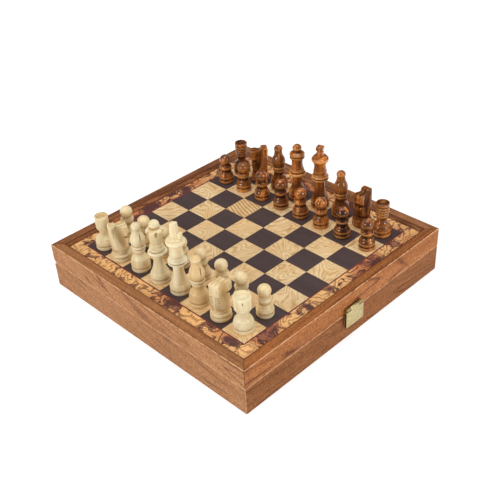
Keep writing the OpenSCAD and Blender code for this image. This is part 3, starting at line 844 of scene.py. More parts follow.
class Bench:
    """Short ways to Blender's modelling operators. Sizes are in millimetres."""

    @staticmethod
    def clear() -> None:
        """Leave edit mode and let go of everything."""
        if bpy.context.mode != "OBJECT":
            bpy.ops.object.mode_set(mode="OBJECT")
        bpy.ops.object.select_all(action="DESELECT")

    @staticmethod
    def take(piece: Piece) -> Piece:
        """Select one piece alone and make it active."""
        Bench.clear()
        piece.select_set(True)
        bpy.context.view_layer.objects.active = piece
        return piece

    @staticmethod
    def settle(name: str) -> Piece:
        """Name the piece that was just added, and put its place, turn and size into its mesh."""
        piece = bpy.context.object
        piece.name = name
        bpy.ops.object.transform_apply(location=True, rotation=True, scale=True)
        return piece

    @staticmethod
    def chain(name: str, points: Sequence[Sequence[float]]) -> Piece:
        """Draw a chain of edges, extruded point by point from a single corner.

        Args:
            name: The piece's name.
            points: The points in millimetres.

        Returns:
            The piece, left in edit mode with its last point selected.
        """
        Bench.clear()
        bpy.ops.mesh.primitive_plane_add(size=MM)
        piece = bpy.context.object
        piece.name = name
        piece.data.name = name
        bpy.ops.object.mode_set(mode="EDIT")
        bpy.ops.mesh.select_all(action="SELECT")
        bpy.ops.mesh.merge(type="CENTER")
        here = Vector(points[0]) * MM
        bpy.ops.transform.translate(value=here)
        for point in points[1:]:
            there = Vector(point) * MM
            bpy.ops.mesh.extrude_vertices_move(TRANSFORM_OT_translate={"value": there - here})
            here = there
        return piece

    @staticmethod
    def slab(name: str, points: Sequence[Sequence[float]], way: Sequence[float]) -> Piece:
        """Make a closed outline and extrude it into a slab.

        Args:
            name: The piece's name.
            points: The outline in millimetres.
            way: How far the outline is extruded, in millimetres.

        Returns:
            The slab.
        """
        piece = Bench.chain(name, points)
        bpy.ops.mesh.select_all(action="SELECT")
        bpy.ops.mesh.edge_face_add()
        bpy.ops.mesh.extrude_region_move(TRANSFORM_OT_translate={"value": Vector(way) * MM})
        bpy.ops.mesh.select_all(action="SELECT")
        bpy.ops.mesh.normals_make_consistent(inside=False)
        Bench.clear()
        return piece

    @staticmethod
    def turn(name: str, profile: Profile, steps: int) -> Piece:
        """Spin a profile of radius and height about the Z axis.

        Args:
            name: The piece's name.
            profile: Points of radius and height in millimetres, from the axis to the axis.
            steps: Facets all round.

        Returns:
            The turned piece.
        """
        piece = Bench.chain(name, [(radius, 0.0, height) for radius, height in profile])
        bpy.ops.mesh.select_all(action="SELECT")
        bpy.ops.mesh.spin(steps=steps, dupli=False, angle=2 * math.pi, center=(0, 0, 0), axis=(0, 0, 1))
        bpy.ops.mesh.select_all(action="SELECT")
        bpy.ops.mesh.remove_doubles(threshold=0.000002)
        bpy.ops.mesh.normals_make_consistent(inside=False)
        Bench.clear()
        return piece

    @staticmethod
    def block(name: str, size: Sequence[float], middle: Sequence[float],
              turn: Sequence[float] = (0, 0, 0)) -> Piece:
        """Add a block, as a cutter or a start.

        Args:
            name: The piece's name.
            size: Its sides in millimetres.
            middle: Its middle in millimetres.
            turn: Its turn about each axis, in degrees.

        Returns:
            The block, with its place in its mesh.
        """
        Bench.clear()
        bpy.ops.mesh.primitive_cube_add(size=MM, location=Vector(middle) * MM, scale=size,
                                        rotation=[math.radians(a) for a in turn])
        return Bench.settle(name)

    @staticmethod
    def egg(name: str, size: Sequence[float], middle: Sequence[float],
            turn: Sequence[float] = (0, 0, 0)) -> Piece:
        """Add a ball that is stretched, placed and turned like a block, as a gouge."""
        Bench.clear()
        bpy.ops.mesh.primitive_uv_sphere_add(segments=48, ring_count=32, radius=MM,
                                             location=Vector(middle) * MM, scale=size,
                                             rotation=[math.radians(a) for a in turn])
        return Bench.settle(name)

    @staticmethod
    def finish(piece: Piece, kind: str, **settings: object) -> None:
        """Add a modifier, set it and apply it.

        Args:
            piece: The piece.
            kind: The modifier's type.
            **settings: The modifier's settings.
        """
        Bench.take(piece)
        modifier = piece.modifiers.new(kind.lower(), kind)
        for key, value in settings.items():
            setattr(modifier, key, value)
        bpy.ops.object.modifier_apply(modifier=modifier.name)

    @staticmethod
    def bevel(piece: Piece, width: float, segments: int) -> None:
        """Soften the edges of a piece by a width in millimetres."""
        Bench.finish(piece, "BEVEL", width=width * MM, segments=segments, limit_method="ANGLE")

    @staticmethod
    def combine(piece: Piece, tool: Piece, operation: str) -> None:
        """Cut a tool from a piece, join it on or keep what they share, and delete the tool.

        Args:
            piece: The piece.
            tool: The other shape.
            operation: DIFFERENCE, UNION or INTERSECT.
        """
        Bench.finish(piece, "BOOLEAN", object=tool, operation=operation, solver="EXACT")
        Bench.clear()
        tool.select_set(True)
        bpy.ops.object.delete()

    @staticmethod
    def smooth(piece: Piece, angle: float = 35.0) -> None:
        """Shade a piece smooth where its faces meet at less than the angle in degrees."""
        Bench.take(piece)
        bpy.ops.object.shade_smooth_by_angle(angle=math.radians(angle))
        Bench.clear()

    @staticmethod
    def copy_to(piece: Piece, name: str, place: Vector, turn: float) -> Piece:
        """Copy a piece with its own mesh, turned about Z and set down at a place.

        Args:
            piece: The piece to copy.
            name: The copy's name.
            place: Where its origin goes, in metres.
            turn: Its turn in degrees.

        Returns:
            The copy, with its place in its mesh.
        """
        made = bpy.data.objects.new(name, piece.data.copy())
        made.data.name = name
        bpy.context.scene.collection.objects.link(made)
        made.data.transform(Matrix.Translation(place) @ Matrix.Rotation(math.radians(turn), 4, "Z"))
        return made


def dress(piece: Piece, material: Material) -> None:
    """Give a piece one finish in all its material slots.

    Args:
        piece: A new piece or a CAD node.
        material: The finish.
    """
    if not piece.material_slots:
        piece.data.materials.append(material)
    for slot in piece.material_slots:
        slot.material = material


def dress_nodes(finishes: dict[str, Finish]) -> None:
    """Give CAD nodes a finish each, by their names."""
    for node, finish in finishes.items():
        dress(frame["nodes"][node], finish.make())


def fit(piece: Piece, body: str, slot: str, *nodes: str) -> None:
    """Let a piece ride on a body and stand for CAD nodes.

    Args:
        piece: The piece.
        body: The body it moves with.
        slot: Not used.
        *nodes: The nodes that it replaces.
    """
    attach(piece, body)
    if nodes:
        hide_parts(*nodes)
    LOG.info("%s rides on %s", piece.name, body)


# The men


class Lathe:
    """A turned outline, cut upwards from the axis. All sizes are in millimetres."""

    def __init__(self) -> None:
        """Start at the middle of the underside."""
        self.points: Profile = [(0.0, 0.0)]

    def to(self, radius: float, height: float) -> Lathe:
        """Cut straight to a point."""
        self.points.append((radius, height))
        return self

    def run(self, steps: int, point: Callable[[int], tuple[float, float]]) -> Lathe:
        """Cut a curve in steps, by a function that gives the radius and height of each."""
        self.points += [point(i) for i in range(steps + 1)]
        return self

    def bead(self, radius: float, low: float, high: float, out: float, steps: int = 9) -> Lathe:
        """Cut a bead that stands out from a radius between two heights."""
        return self.run(steps, lambda i: (
            radius + out * math.sin(math.pi * i / steps),
            (low + high) / 2 - (high - low) / 2 * math.cos(math.pi * i / steps)))

    def sweep(self, start: float, low: float, end: float, high: float, steps: int = 12) -> Lathe:
        """Cut a smooth S from one radius to another, upright at both ends."""
        return self.run(steps, lambda i: (
            start + (end - start) * ((1 - math.cos(math.pi * i / steps)) / 2),
            low + (high - low) * i / steps))

    def cove(self, start: float, low: float, end: float, high: float, steps: int = 8) -> Lathe:
        """Cut a hollow sweep that leaves level and ends upright."""
        return self.run(steps, lambda i: (
            start + (end - start) * math.sin(math.pi / 2 * i / steps),
            low + (high - low) * (1 - math.cos(math.pi / 2 * i / steps))))

    def flare(self, start: float, low: float, end: float, high: float, steps: int = 8) -> Lathe:
        """Cut a flare that starts upright and runs out to a wider radius."""
        return self.run(steps, lambda i: (
            start + (end - start) * (1 - math.cos(math.pi / 2 * i / steps)),
            low + (high - low) * math.sin(math.pi / 2 * i / steps)))

    def curve(self, start: float, low: float, end: float, high: float, power: float,
              steps: int = 8) -> Lathe:
        """Cut a curve that bends late, or early where the power is below 1."""
        return self.run(steps, lambda i: (
            start + (end - start) * (i / steps) ** power, low + (high - low) * i / steps))

    def ball(self, radius: float, half_height: float, middle: float, neck: float, steps: int = 14) -> Lathe:
        """Cut a ball, or a flattened one, from its neck to the top of the axis."""
        start = -math.acos(neck / radius)
        for i in range(steps + 1):
            angle = start + (math.pi / 2 - start) * i / steps
            across = 0.0 if i == steps else radius * math.cos(angle)
            self.points.append((across, middle + half_height * math.sin(angle)))
        return self

    def foot(self, radius: float, height: float) -> Lathe:
        """Cut the foot that every man stands on, up to the groove above it."""
        self.to(radius - 0.7, 0.0).to(radius - 0.5, 0.15)
        self.bead(radius - 0.5, 0.3, height, 0.5)
        self.to(radius - 0.8, height + 0.1).to(radius - 0.85, height + 0.3)
        return self.to(radius - 0.7, height + 0.5)

    def body(self, foot: float, height: float, line: tuple[float, float], neck: float,
             neck_at: float) -> Lathe:
        """Cut the foot, the round belly up to the scored line and the hollow cone above it.

        Args:
            foot: The foot's radius.
            height: The foot's height.
            line: The radius and height of the scored line.
            neck: The neck's radius.
            neck_at: The height where the cone has narrowed to the neck.

        Returns:
            The same lathe.
        """
        radius, at = line
        self.foot(foot - 0.1, height)
        self.curve(foot - 0.7, height + 0.7, foot - 0.1, height + 2.0, 0.6, 4)
        self.curve(foot - 0.1, height + 2.4, radius + 0.15, at - 0.3, 1.9, 8)
        self.to(radius - 0.4, at).to(radius - 0.35, at + 0.2).to(radius, at + 0.45)
        return self.curve(neck, neck_at, radius - 0.1, at + 0.8, 2.0, 10).turn_back(11)

    def turn_back(self, count: int) -> Lathe:
        """Put the last points the other way round, for a curve that was cut downwards."""
        self.points[-count:] = self.points[-count:][::-1]
        return self


@dataclass
class Chessmen:
    """The 32 men. Each kind is turned or carved once, and its copies stand where the solids stand."""

    foot_height: float = 3.7
    steps: int = 64
    reach: float = 3.0
    pawn_height: float = 32.0
    pawn_foot: float = 8.25
    pawn_ball: float = 6.1
    rook_height: float = 36.0
    rook_foot: float = 9.5
    rook_heads: dict[str, tuple[float, float]] = field(default_factory=lambda: {
        "white_rook_a": (6.8, 5.0), "white_rook_h": (8.0, 1.4), "black_rook_a": (6.7, 2.6),
        "black_rook_h": (6.7, 2.6)})
    knight_height: float = 39.5
    knight_foot: float = 9.9
    knight_neck: float = 10.0
    knight_face: Profile = field(default_factory=lambda: [
        (-8.7, 9.0), (-8.6, 14.0), (-7.4, 21.0), (-5.8, 29.0), (-4.9, 38.2), (-4.0, 39.5)])
    rib_count: int = 6
    bishop_height: float = 51.2
    bishop_foot: float = 9.3
    queen_heights: dict[Army, float] = field(default_factory=lambda: {Army.WHITE: 65.0, Army.BLACK: 61.5})
    queen_foot: float = 9.5
    queen_cuts: int = 6
    king_heights: dict[Army, float] = field(default_factory=lambda: {Army.WHITE: 73.5, Army.BLACK: 68.5})
    king_foot: float = 9.75
    king_shoulder: float = 58.6
    turns: dict[str, float] = field(default_factory=lambda: {
        "white_rook_a": 60.0, "white_rook_h": -133.0, "black_rook_a": -20.0, "black_rook_h": -20.0,
        "white_knight_b": -20.0, "white_knight_g": 12.0, "black_knight_b": 140.0, "black_knight_g": 180.0,
        "white_bishop_c": -103.0, "white_bishop_f": -97.0, "black_bishop_c": 187.0, "black_bishop_f": 187.0,
        "white_king": -64.0, "black_king": 20.0,
    })
    tones: dict[str, float] = field(default_factory=lambda: {
        "white_bishop_f": 1.0, "white_knight_g": 0.55, "white_pawn_h": 0.5, "white_pawn_e": 0.6,
        "white_pawn_f": 0.45, "white_pawn_b": 0.5, "white_knight_b": 0.35, "white_rook_a": 0.25,
        "white_bishop_c": 0.2, "white_king": 0.15, "white_queen": 0.15, "white_rook_h": 0.0,
        "black_pawn_a": 0.4, "black_pawn_b": 0.8, "black_pawn_c": 0.15, "black_pawn_d": 0.35,
        "black_pawn_e": 0.6, "black_pawn_f": 0.5, "black_pawn_g": 0.0, "black_pawn_h": 0.3,
        "black_knight_b": 0.9, "black_queen": 0.8, "black_king": 0.7, "black_bishop_c": 0.6,
        "black_bishop_f": 0.7, "black_knight_g": 0.6, "black_rook_a": 0.4, "black_rook_h": 0.5,
    })
    ribbed: str = "white_knight_g"
    patterns: dict[tuple, Piece] = field(default_factory=dict)

    @staticmethod
    def store(piece: Piece, name: str, values: np.ndarray) -> None:
        """Store one number for each point of a piece, for its finish to read."""
        attribute = piece.data.attributes.new(name, "FLOAT", "POINT")
        attribute.data.foreach_set("value", values.astype(np.float32))

    @staticmethod
    def places(piece: Piece) -> np.ndarray:
        """Return the points of a piece, in millimetres."""
        found = np.zeros(len(piece.data.vertices) * 3)
        piece.data.vertices.foreach_get("co", found)
        return found.reshape(-1, 3) / MM

    def mark_stain_shade_and_highlight(self, piece: Piece, profile: Profile, dish: float = 0.0,
                  limit: float = 1000.0) -> None:
        """Store where a turned outline has grooves, where it stands out and where it was sawn.

        Args:
            piece: The turned piece.
            profile: Its outline.
            dish: How dark the inside of what the outline hollows out from the top is drawn: partly staining,
                partly painted shade.
            limit: The height above which nothing was turned, in millimetres.
        """
        outline = np.array(profile)
        radii, heights = outline[:, 0], outline[:, 1]
        rim = int(np.argmax(heights))
        groove, ridge = np.zeros(len(outline)), np.zeros(len(outline))
        for i in range(1, rim):
            above = radii[i + 1:rim + 1][heights[i + 1:rim + 1] - heights[i] < self.reach]
            below = radii[:i][heights[i] - heights[:i] < self.reach]
            if len(above) and len(below):
                groove[i] = min(above.max(), below.max()) - radii[i]
                ridge[i] = radii[i] - max(above.min(), below.min())
        groove[rim + 1:] = dish * 1.1
        points = self.places(piece)
        across = np.hypot(points[:, 0], points[:, 1])
        flat = np.stack([across, points[:, 2]], axis=1)
        start, way = outline[:-1], outline[1:] - outline[:-1]
        length = np.maximum((way ** 2).sum(axis=1), 1e-9)
        share = np.clip(((flat[:, None] - start) * way).sum(axis=2) / length, 0, 1)
        away = np.linalg.norm(flat[:, None] - start - share[..., None] * way, axis=2)
        nearest = away.argmin(axis=1)
        part = share[np.arange(len(flat)), nearest]
        hollow = groove[nearest] * (1 - part) + groove[nearest + 1] * part
        crest = ridge[nearest] * (1 - part) + ridge[nearest + 1] * part
        sawn = away.min(axis=1) > 0.3
        turned = points[:, 2] < limit
        # Grooves, the dish and sawn faces get a darkening value, partly staining and partly painted shade;
        # ridges a lightening value, partly rubbed wear and partly painted highlight.
        self.store(piece, "hollow", np.where(turned, np.where(sawn, 1.0, np.clip(hollow / 1.1, 0, 1)), 0.0))
        # The crest value lightens ridges: partly rubbed wear, partly a painted highlight.
        self.store(piece, "crest", np.where(turned & ~sawn, np.clip(crest / 1.4, 0, 1), 0.0))

    def turned(self, name: str, lathe: Lathe, cuts: Iterable[Piece] = (),
               dish: float = 0.0) -> Piece:
        """Turn a man, saw its cuts and shade it.

        Args:
            name: The pattern's name.
            lathe: Its outline.
            cuts: The shapes that are cut out of it.
            dish: How dark its hollowed top is drawn: partly staining, partly painted shade.

        Returns:
            The pattern.
        """
        piece = Bench.turn(name, lathe.points, self.steps)
        for cut in cuts:
            Bench.combine(piece, cut, "DIFFERENCE")
        self.mark_stain_shade_and_highlight(piece, lathe.points, dish)
        Bench.smooth(piece, 38.0)
        return piece

    def pawn(self) -> Piece:
        """Turn a pawn."""
        middle = self.pawn_height - self.pawn_ball
        waist = middle - self.pawn_ball - 5.4
        lathe = Lathe().body(self.pawn_foot, self.foot_height, (6.5, 10.6), 5.0, waist)
        lathe.flare(5.0, waist + 0.2, 5.9, waist + 0.9, 3).curve(5.9, waist + 1.0, 6.45, waist + 3.0, 0.6, 4)
        lathe.curve(6.45, waist + 3.3, 4.9, waist + 6.0, 2.4, 6)
        lathe.ball(self.pawn_ball, self.pawn_ball, middle, 4.6, 22)
        return self.turned("pawn", lathe)

    def rook(self, army: Army, head: float, dish: float) -> Piece:
        """Turn a rook, with a saw cut in its rim.

        Args:
            army: The black ones have ringed heads.
            head: The radius of the head at its rim, in millimetres.
            dish: How deep its top is hollowed.

        Returns:
            The pattern.
        """
        top = self.rook_height
        neck = 4.3 if army is Army.BLACK else head - 2.6
        lathe = Lathe().body(self.rook_foot, self.foot_height, (8.1, 11.0), neck, 17.6)
        if army is Army.BLACK:
            lathe.to(neck, 20.0).to(neck + 0.5, 20.4)
            for i in range(4):
                low = 20.8 + 2.9 * i
                lathe.bead(head - 1.35 + 0.2 * i, low, low + 2.5, 0.75, 7)
            lathe.to(head - 0.5, top - 3.4)
        else:
            lathe.to(neck, 20.4).curve(neck + 0.2, 20.8, head - 0.45, 22.9, 0.4, 7)
            lathe.to(head - 0.4, 24.6).to(head - 0.75, 24.9).to(head - 0.35, 25.2)
        lathe.to(head - 0.1, top - 3.0).to(head, top - 1).to(head - 0.15, top - 0.4)
        lathe.to(head - 0.45, top - 0.1).to(head - 0.75, top).to(head - 1.1, top - 0.2)
        lathe.to(head - 1.6, top - dish * 0.4).to(head - 2.6, top - dish * 0.8)
        lathe.to(1.6, top - dish).to(0.0, top - dish)
        cut = Bench.block("saw_cut", (3.4, 0.8, 3.2), (head + 0.7, 0, top - 3.9))
        # How dark the hollowed top is drawn: partly staining, partly painted shade.
        stain_and_shade = 0.85 if army is Army.BLACK else 0.12 * dish
        return self.turned("rook", lathe, [cut], stain_and_shade)

    def bishop(self, army: Army) -> Piece:
        """Turn a bishop and saw the slit of its mitre."""
        top = self.bishop_height
        collar, mitre, cap = top - 29.7, top - 22.0, top - 8.0
        lathe = Lathe().body(self.bishop_foot, self.foot_height, (8.2, 12.2), 5.2, collar - 2.6)
        lathe.to(5.2, collar - 0.6).bead(5.3, collar - 0.2, collar + 2.3, 1.0).to(5.5, collar + 2.6)
        lathe.bead(5.7, collar + 2.9, collar + 5.9, 1.05).to(6.0, collar + 6.5)
        lathe.curve(6.2, mitre - 1.0, 7.15, mitre + 3.0, 0.6, 6).sweep(7.15, mitre + 4.0, 4.2, cap, 14)
        lathe.ball(4.6, 4.1, top - 4.1, 3.9)
        if army is Army.BLACK:
            cut = Bench.block("mitre_cut", (5, 0.9, 4.2), (6.6, 0, cap - 3.2), (-48, 0, 0))
        else:
            cut = Bench.block("mitre_cut", (7, 0.9, 6.8), (7.6, 0, mitre + 8.0), (-10, 0, 0))
        return self.turned("bishop", lathe, [cut])

    def queen(self, army: Army) -> Piece:
        """Turn a queen, with the saw cuts of her coronet."""
        top = self.queen_heights[army]
        collar, rim = top - 35.0, top - 13.4
        lathe = Lathe().body(self.queen_foot, self.foot_height, (7.3, 11.2), 4.5, collar - 5.0)
        lathe.to(4.7, collar - 0.8)
        lathe.bead(6.0, collar, collar + 3.8, 2.9, 12).bead(6.1, collar + 4.3, collar + 6.8, 1.2)
        lathe.cove(6.9, collar + 7.2, 6.0, collar + 9.0).bead(5.8, collar + 9.2, collar + 10.6, 0.4, 6)
        lathe.sweep(5.7, collar + 11.2, 5.6, collar + 12.6, 4)
        if army is Army.WHITE:
            lathe.curve(5.7, collar + 13.0, 8.1, rim + 1.6, 1.5, 8).to(8.25, rim + 2.4).to(8.2, rim + 3.4)
            lathe.to(7.8, rim + 4.2).to(6.4, rim + 4.9)
        else:
            lathe.flare(5.6, collar + 14.2, 7.0, rim - 2.2)
            lathe.bead(7.0, rim - 1.9, rim + 0.6, 0.8, 8).bead(7.0, rim + 1.0, rim + 4.0, 0.9, 8)
        lathe.to(5.6, rim + 5.1).to(3.6, rim + 5.6).ball(4.8, 4.0, top - 4.0, 3.5, 18)
        cuts = []
        for i in range(self.queen_cuts if army is Army.WHITE else 0):
            turn = 360 / self.queen_cuts * i
            middle = heading(turn) * 8.6 + Vector((0, 0, rim + 2.6))
            cuts.append(Bench.egg("coronet_gouge", (2.0, 1.7, 7.5), middle, (0, 0, turn)))
        return self.turned("queen", lathe, cuts)

    def finial(self, army: Army, base: float, height: float) -> Piece:
        """Cut the square finial of a king.

        Args:
            army: The white one is a tall block with a stub at its foot, the black one has two tiers.
            base: Where it starts, in millimetres.
            height: How high it is.

        Returns:
            The finial.
        """
        if army is Army.BLACK:
            waist = height * 0.52
            half = [(3.0, 0.0), (3.1, waist - 1.0), (2.3, waist - 0.4), (2.3, waist + 0.4),
                    (3.35, waist + 1.0), (3.5, height - 0.5), (3.1, height)]
        else:
            half = [(3.0, 0.0), (3.0, height * 0.45), (2.7, height - 0.5), (2.3, height)]
        outline = half + [(-x, z) for x, z in reversed(half)]
        piece = Bench.slab("finial", [(x, -5.0, base + z) for x, z in outline], (0, 10.0, 0))
        side = Bench.slab("finial_side", [(-5.0, x, base + z) for x, z in outline], (10.0, 0, 0))
        Bench.combine(piece, side, "INTERSECT")
        if army is Army.WHITE:
            stub = Bench.block("finial_stub", (5.2, 4.2, 5.0), (4.2, 0, base + 3.0), (0, -10, 0))
            Bench.combine(piece, stub, "UNION")
        Bench.bevel(piece, 0.3, 2)
        return piece

    def king(self, army: Army) -> Piece:
        """Turn a king and set the finial in his crown."""
        shoulder = self.king_shoulder
        collar = shoulder - 27.4
        lathe = Lathe().body(self.king_foot, self.foot_height, (7.6, 11.4), 4.9, collar - 5.0)
        lathe.to(5.0, collar - 0.8)
        lathe.bead(6.2, collar, collar + 2.4, 2.6, 10).bead(6.3, collar + 2.7, collar + 5.2, 2.4, 10)
        lathe.cove(7.6, collar + 5.6, 6.7, collar + 8.6).bead(6.5, collar + 8.8, collar + 10.6, 0.4, 6)
        lathe.sweep(6.3, collar + 11.0, 6.05, collar + 15.0, 5)
        lathe.flare(6.05, collar + 15.4, 8.0, shoulder - 6.4)
        lathe.bead(8.0, shoulder - 6.2, shoulder - 2.6, 0.7, 10).to(7.4, shoulder - 2.2)
        lathe.bead(6.4, shoulder - 2.0, shoulder - 0.8, 0.5, 6).to(5.0, shoulder - 0.3).to(0.0, shoulder)
        piece = Bench.turn("king", lathe.points, self.steps)
        finial = self.finial(army, shoulder - 0.6, self.king_heights[army] - shoulder + 0.6)
        Bench.combine(piece, finial, "UNION")
        self.mark_stain_shade_and_highlight(piece, lathe.points, limit=shoulder - 0.2)
        Bench.smooth(piece, 32.0)
        return piece

    def knight(self, ribs: bool) -> Piece:
        """Carve a knight: a turned blank cut to two outlines, gouged on both flanks and sanded soft.

        Args:
            ribs: Whether the mane has its carved ribs.

        Returns:
            The pattern.
        """
        top, neck = self.knight_height, self.knight_neck
        muzzle = top - 2.8
        side = [(-8.2, neck - 1), (-8.5, neck + 7), (-8.8, top - 13), (-9.1, top - 2.6),
                (-8.1, top - 0.3), (-6.6, top), (-2.0, top), (-1.2, muzzle + 0.4), (-0.2, muzzle),
                (8.2, muzzle), (9.2, muzzle - 1.4), (9.0, top - 11.2), (8.0, top - 12.4),
                (6.0, top - 12.8), (3.4, top - 14.4), (3.2, top - 15.2), (5.2, top - 15.3),
                (7.8, top - 16.2), (9.0, top - 19.4), (8.8, neck + 5), (8.1, neck - 1)]
        piece = Bench.slab("knight", [(x, -10.0, z) for x, z in side], (0, 20.0, 0))
        outline = self.knight_face + [(-y, z) for y, z in reversed(self.knight_face)]
        front = Bench.slab("front", [(-15.0, y, z) for y, z in outline], (30.0, 0, 0))
        Bench.combine(piece, front, "INTERSECT")
        blank = [(0.0, neck - 2), (7.9, neck - 2), (8.3, neck + 3), (8.9, neck + 10), (9.3, neck + 18),
                 (9.8, top + 1), (0.0, top + 1)]
        Bench.combine(piece, Bench.turn("blank", blank, self.steps), "INTERSECT")
        Bench.bevel(piece, 0.6, 3)
        foot = self.knight_foot
        base = Lathe().foot(foot - 0.1, self.foot_height)
        base.curve(foot - 0.9, self.foot_height + 0.8, foot - 0.3, self.foot_height + 2.2, 0.6, 4)
        base.curve(foot - 0.35, self.foot_height + 2.6, foot - 2.1, neck - 1.6, 2.0, 6)
        base.to(foot - 2.2, neck - 1.2).bead(foot - 2.1, neck - 1.0, neck + 0.6, 0.6, 6)
        base.to(foot - 2.6, neck + 0.8).to(0.0, neck + 0.8)
        Bench.combine(piece, Bench.turn("knight_foot", base.points, self.steps), "UNION")
        for way in (-1, 1):
            tip, end = Vector((4.6, way * 9.0, neck + 2.4)), Vector((-2.2, way * 8.6, top + 3.0))
            Bench.combine(piece, self.gouge(tip, end), "DIFFERENCE")
        Bench.finish(piece, "REMESH", mode="VOXEL", voxel_size=0.36 * MM)
        Bench.finish(piece, "SMOOTH", factor=0.5, iterations=3)
        if ribs:
            self.carve_ribs(piece)
        self.mark_flank_stain_and_shade(piece)
        Bench.smooth(piece, 50.0)
        return piece

    def gouge(self, tip: Vector, end: Vector) -> Piece:
        """Make the blade-shaped hollow of a flank: a point at its tip, wide and open at its end.

        Args:
            tip: Where its point is, in millimetres.
            end: Where its open end is.

        Returns:
            The tool.
        """
        long = (end - tip).length
        outline = [(0.0, 0.0), (1.8, long * 0.05), (3.4, long * 0.15), (4.9, long * 0.32), (5.8, long * 0.55),
                   (6.0, long * 0.78), (5.4, long), (0.0, long)]
        tool = Bench.turn("gouge", outline, 40)
        lie = Vector((0, 0, 1)).rotation_difference(end - tip).to_matrix().to_4x4()
        tool.data.transform(Matrix.Translation(tip * MM) @ lie @ Matrix.Diagonal((1.0, 0.86, 1.0, 1.0)))
        return tool

    def carve_ribs(self, piece: Piece) -> None:
        """Cut the mane's thin slanted ribs and the small drilled eyes into the back of a knight."""
        for way in (-1, 1):
            turn = 180 - way * 22
            out = heading(turn)
            for i in range(self.rib_count):
                middle = out * 8.6 + Vector((0, 0, self.knight_neck + 4.6 + 2.4 * i))
                rib = Bench.block("rib", (3.0, 4.8, 0.85), middle, (way * 16, 0, turn))
                Bench.combine(piece, rib, "DIFFERENCE")
            middle = out * 9.0 + Vector((0, 0, self.knight_height - 6.0))
            eye = Bench.egg("eye", (0.8, 0.5, 0.5), middle, (0, 0, turn))
            Bench.combine(piece, eye, "DIFFERENCE")

    def mark_flank_stain_and_shade(self, piece: Piece) -> None:
        """Store how dark the gouged flanks, the mouth and the ribs of a knight are drawn: partly staining,
        partly painted shade.
        """
        points = self.places(piece)
        height, across = points[:, 2], np.hypot(points[:, 0], points[:, 1])
        levels = [z for _, z in self.knight_face]
        face = np.interp(height, levels, [-y for y, _ in self.knight_face])
        inner = (across < 8.4) & (height > self.knight_neck + 1) & (np.abs(points[:, 1]) > 1.0)
        # The gouged flanks are darkened: partly staining, partly painted shade.
        hollow = np.where(inner, np.clip((face - np.abs(points[:, 1]) - 0.5) / 2.2, 0, 0.8), 0.0)
        mouth = (points[:, 0] > 2.5) & (np.abs(height - self.knight_height + 14.6) < 1.3) & (across < 8.0)
        turn = np.degrees(np.arctan2(np.abs(points[:, 1]), points[:, 0]))
        ribs = (turn > 135) & (across > 7.0) & (across < 8.35) & (height > self.knight_neck + 3)
        # The mouth and the rib cuts are drawn dark: painted shade in the cuts, partly staining.
        hollow = np.where(mouth, np.maximum(hollow, 0.7), hollow)
        self.store(piece, "hollow", np.where(ribs & (height < self.knight_height - 2), 0.9, hollow))
        self.store(piece, "crest", np.zeros(len(points)))

    def pattern(self, node: str) -> Piece:
        """Return the pattern for a man's node, made the first time.

        Args:
            node: The man's node, such as white_rook_a.

        Returns:
            The pattern.
        """
        army, kind = Army(node.split("_")[0]), node.split("_")[1]
        make, values = {
            "pawn": (self.pawn, ()),
            "rook": (self.rook, (army, *self.rook_heads.get(node, ()))),
            "knight": (self.knight, (node == self.ribbed,)),
            "bishop": (self.bishop, (army,)),
            "queen": (self.queen, (army,)),
            "king": (self.king, (army,)),
        }[kind]
        if (kind, values) not in self.patterns:
            self.patterns[kind, values] = make(*values)
        return self.patterns[kind, values]

    @staticmethod
    def foot_middle(node: str) -> Vector:
        """Find the middle of a man's foot from its solid, in metres."""
        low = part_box(node)[0].z
        foot = [v.co for v in frame["nodes"][node].data.vertices if v.co.z < low + 3 * MM]
        return Vector((
            (min(p.x for p in foot) + max(p.x for p in foot)) / 2,
            (min(p.y for p in foot) + max(p.y for p in foot)) / 2,
            low,
        ))

    def build(self, finishes: dict[Army, Material]) -> None:
        """Set all the men on the board.

        Args:
            finishes: The wood of each army.
        """
        slots = {Army.WHITE: "pale_wood", Army.BLACK: "stained_wood"}
        men = [n for n in frame["nodes"] if n.startswith(("white_", "black_"))]
        for node in sorted(men):
            army = Army(node.split("_")[0])
            piece = Bench.copy_to(self.pattern(node), f"turned_{node}", self.foot_middle(node),
                                  self.turns.get(node, 0.0))
            self.store(piece, "tone", np.full(len(piece.data.vertices), self.tones.get(node, 0.3)))
            dress(piece, finishes[army])
            fit(piece, node, slots[army], node)
        Bench.clear()
        for pattern in self.patterns.values():
            pattern.select_set(True)
        bpy.ops.object.delete()


# The box


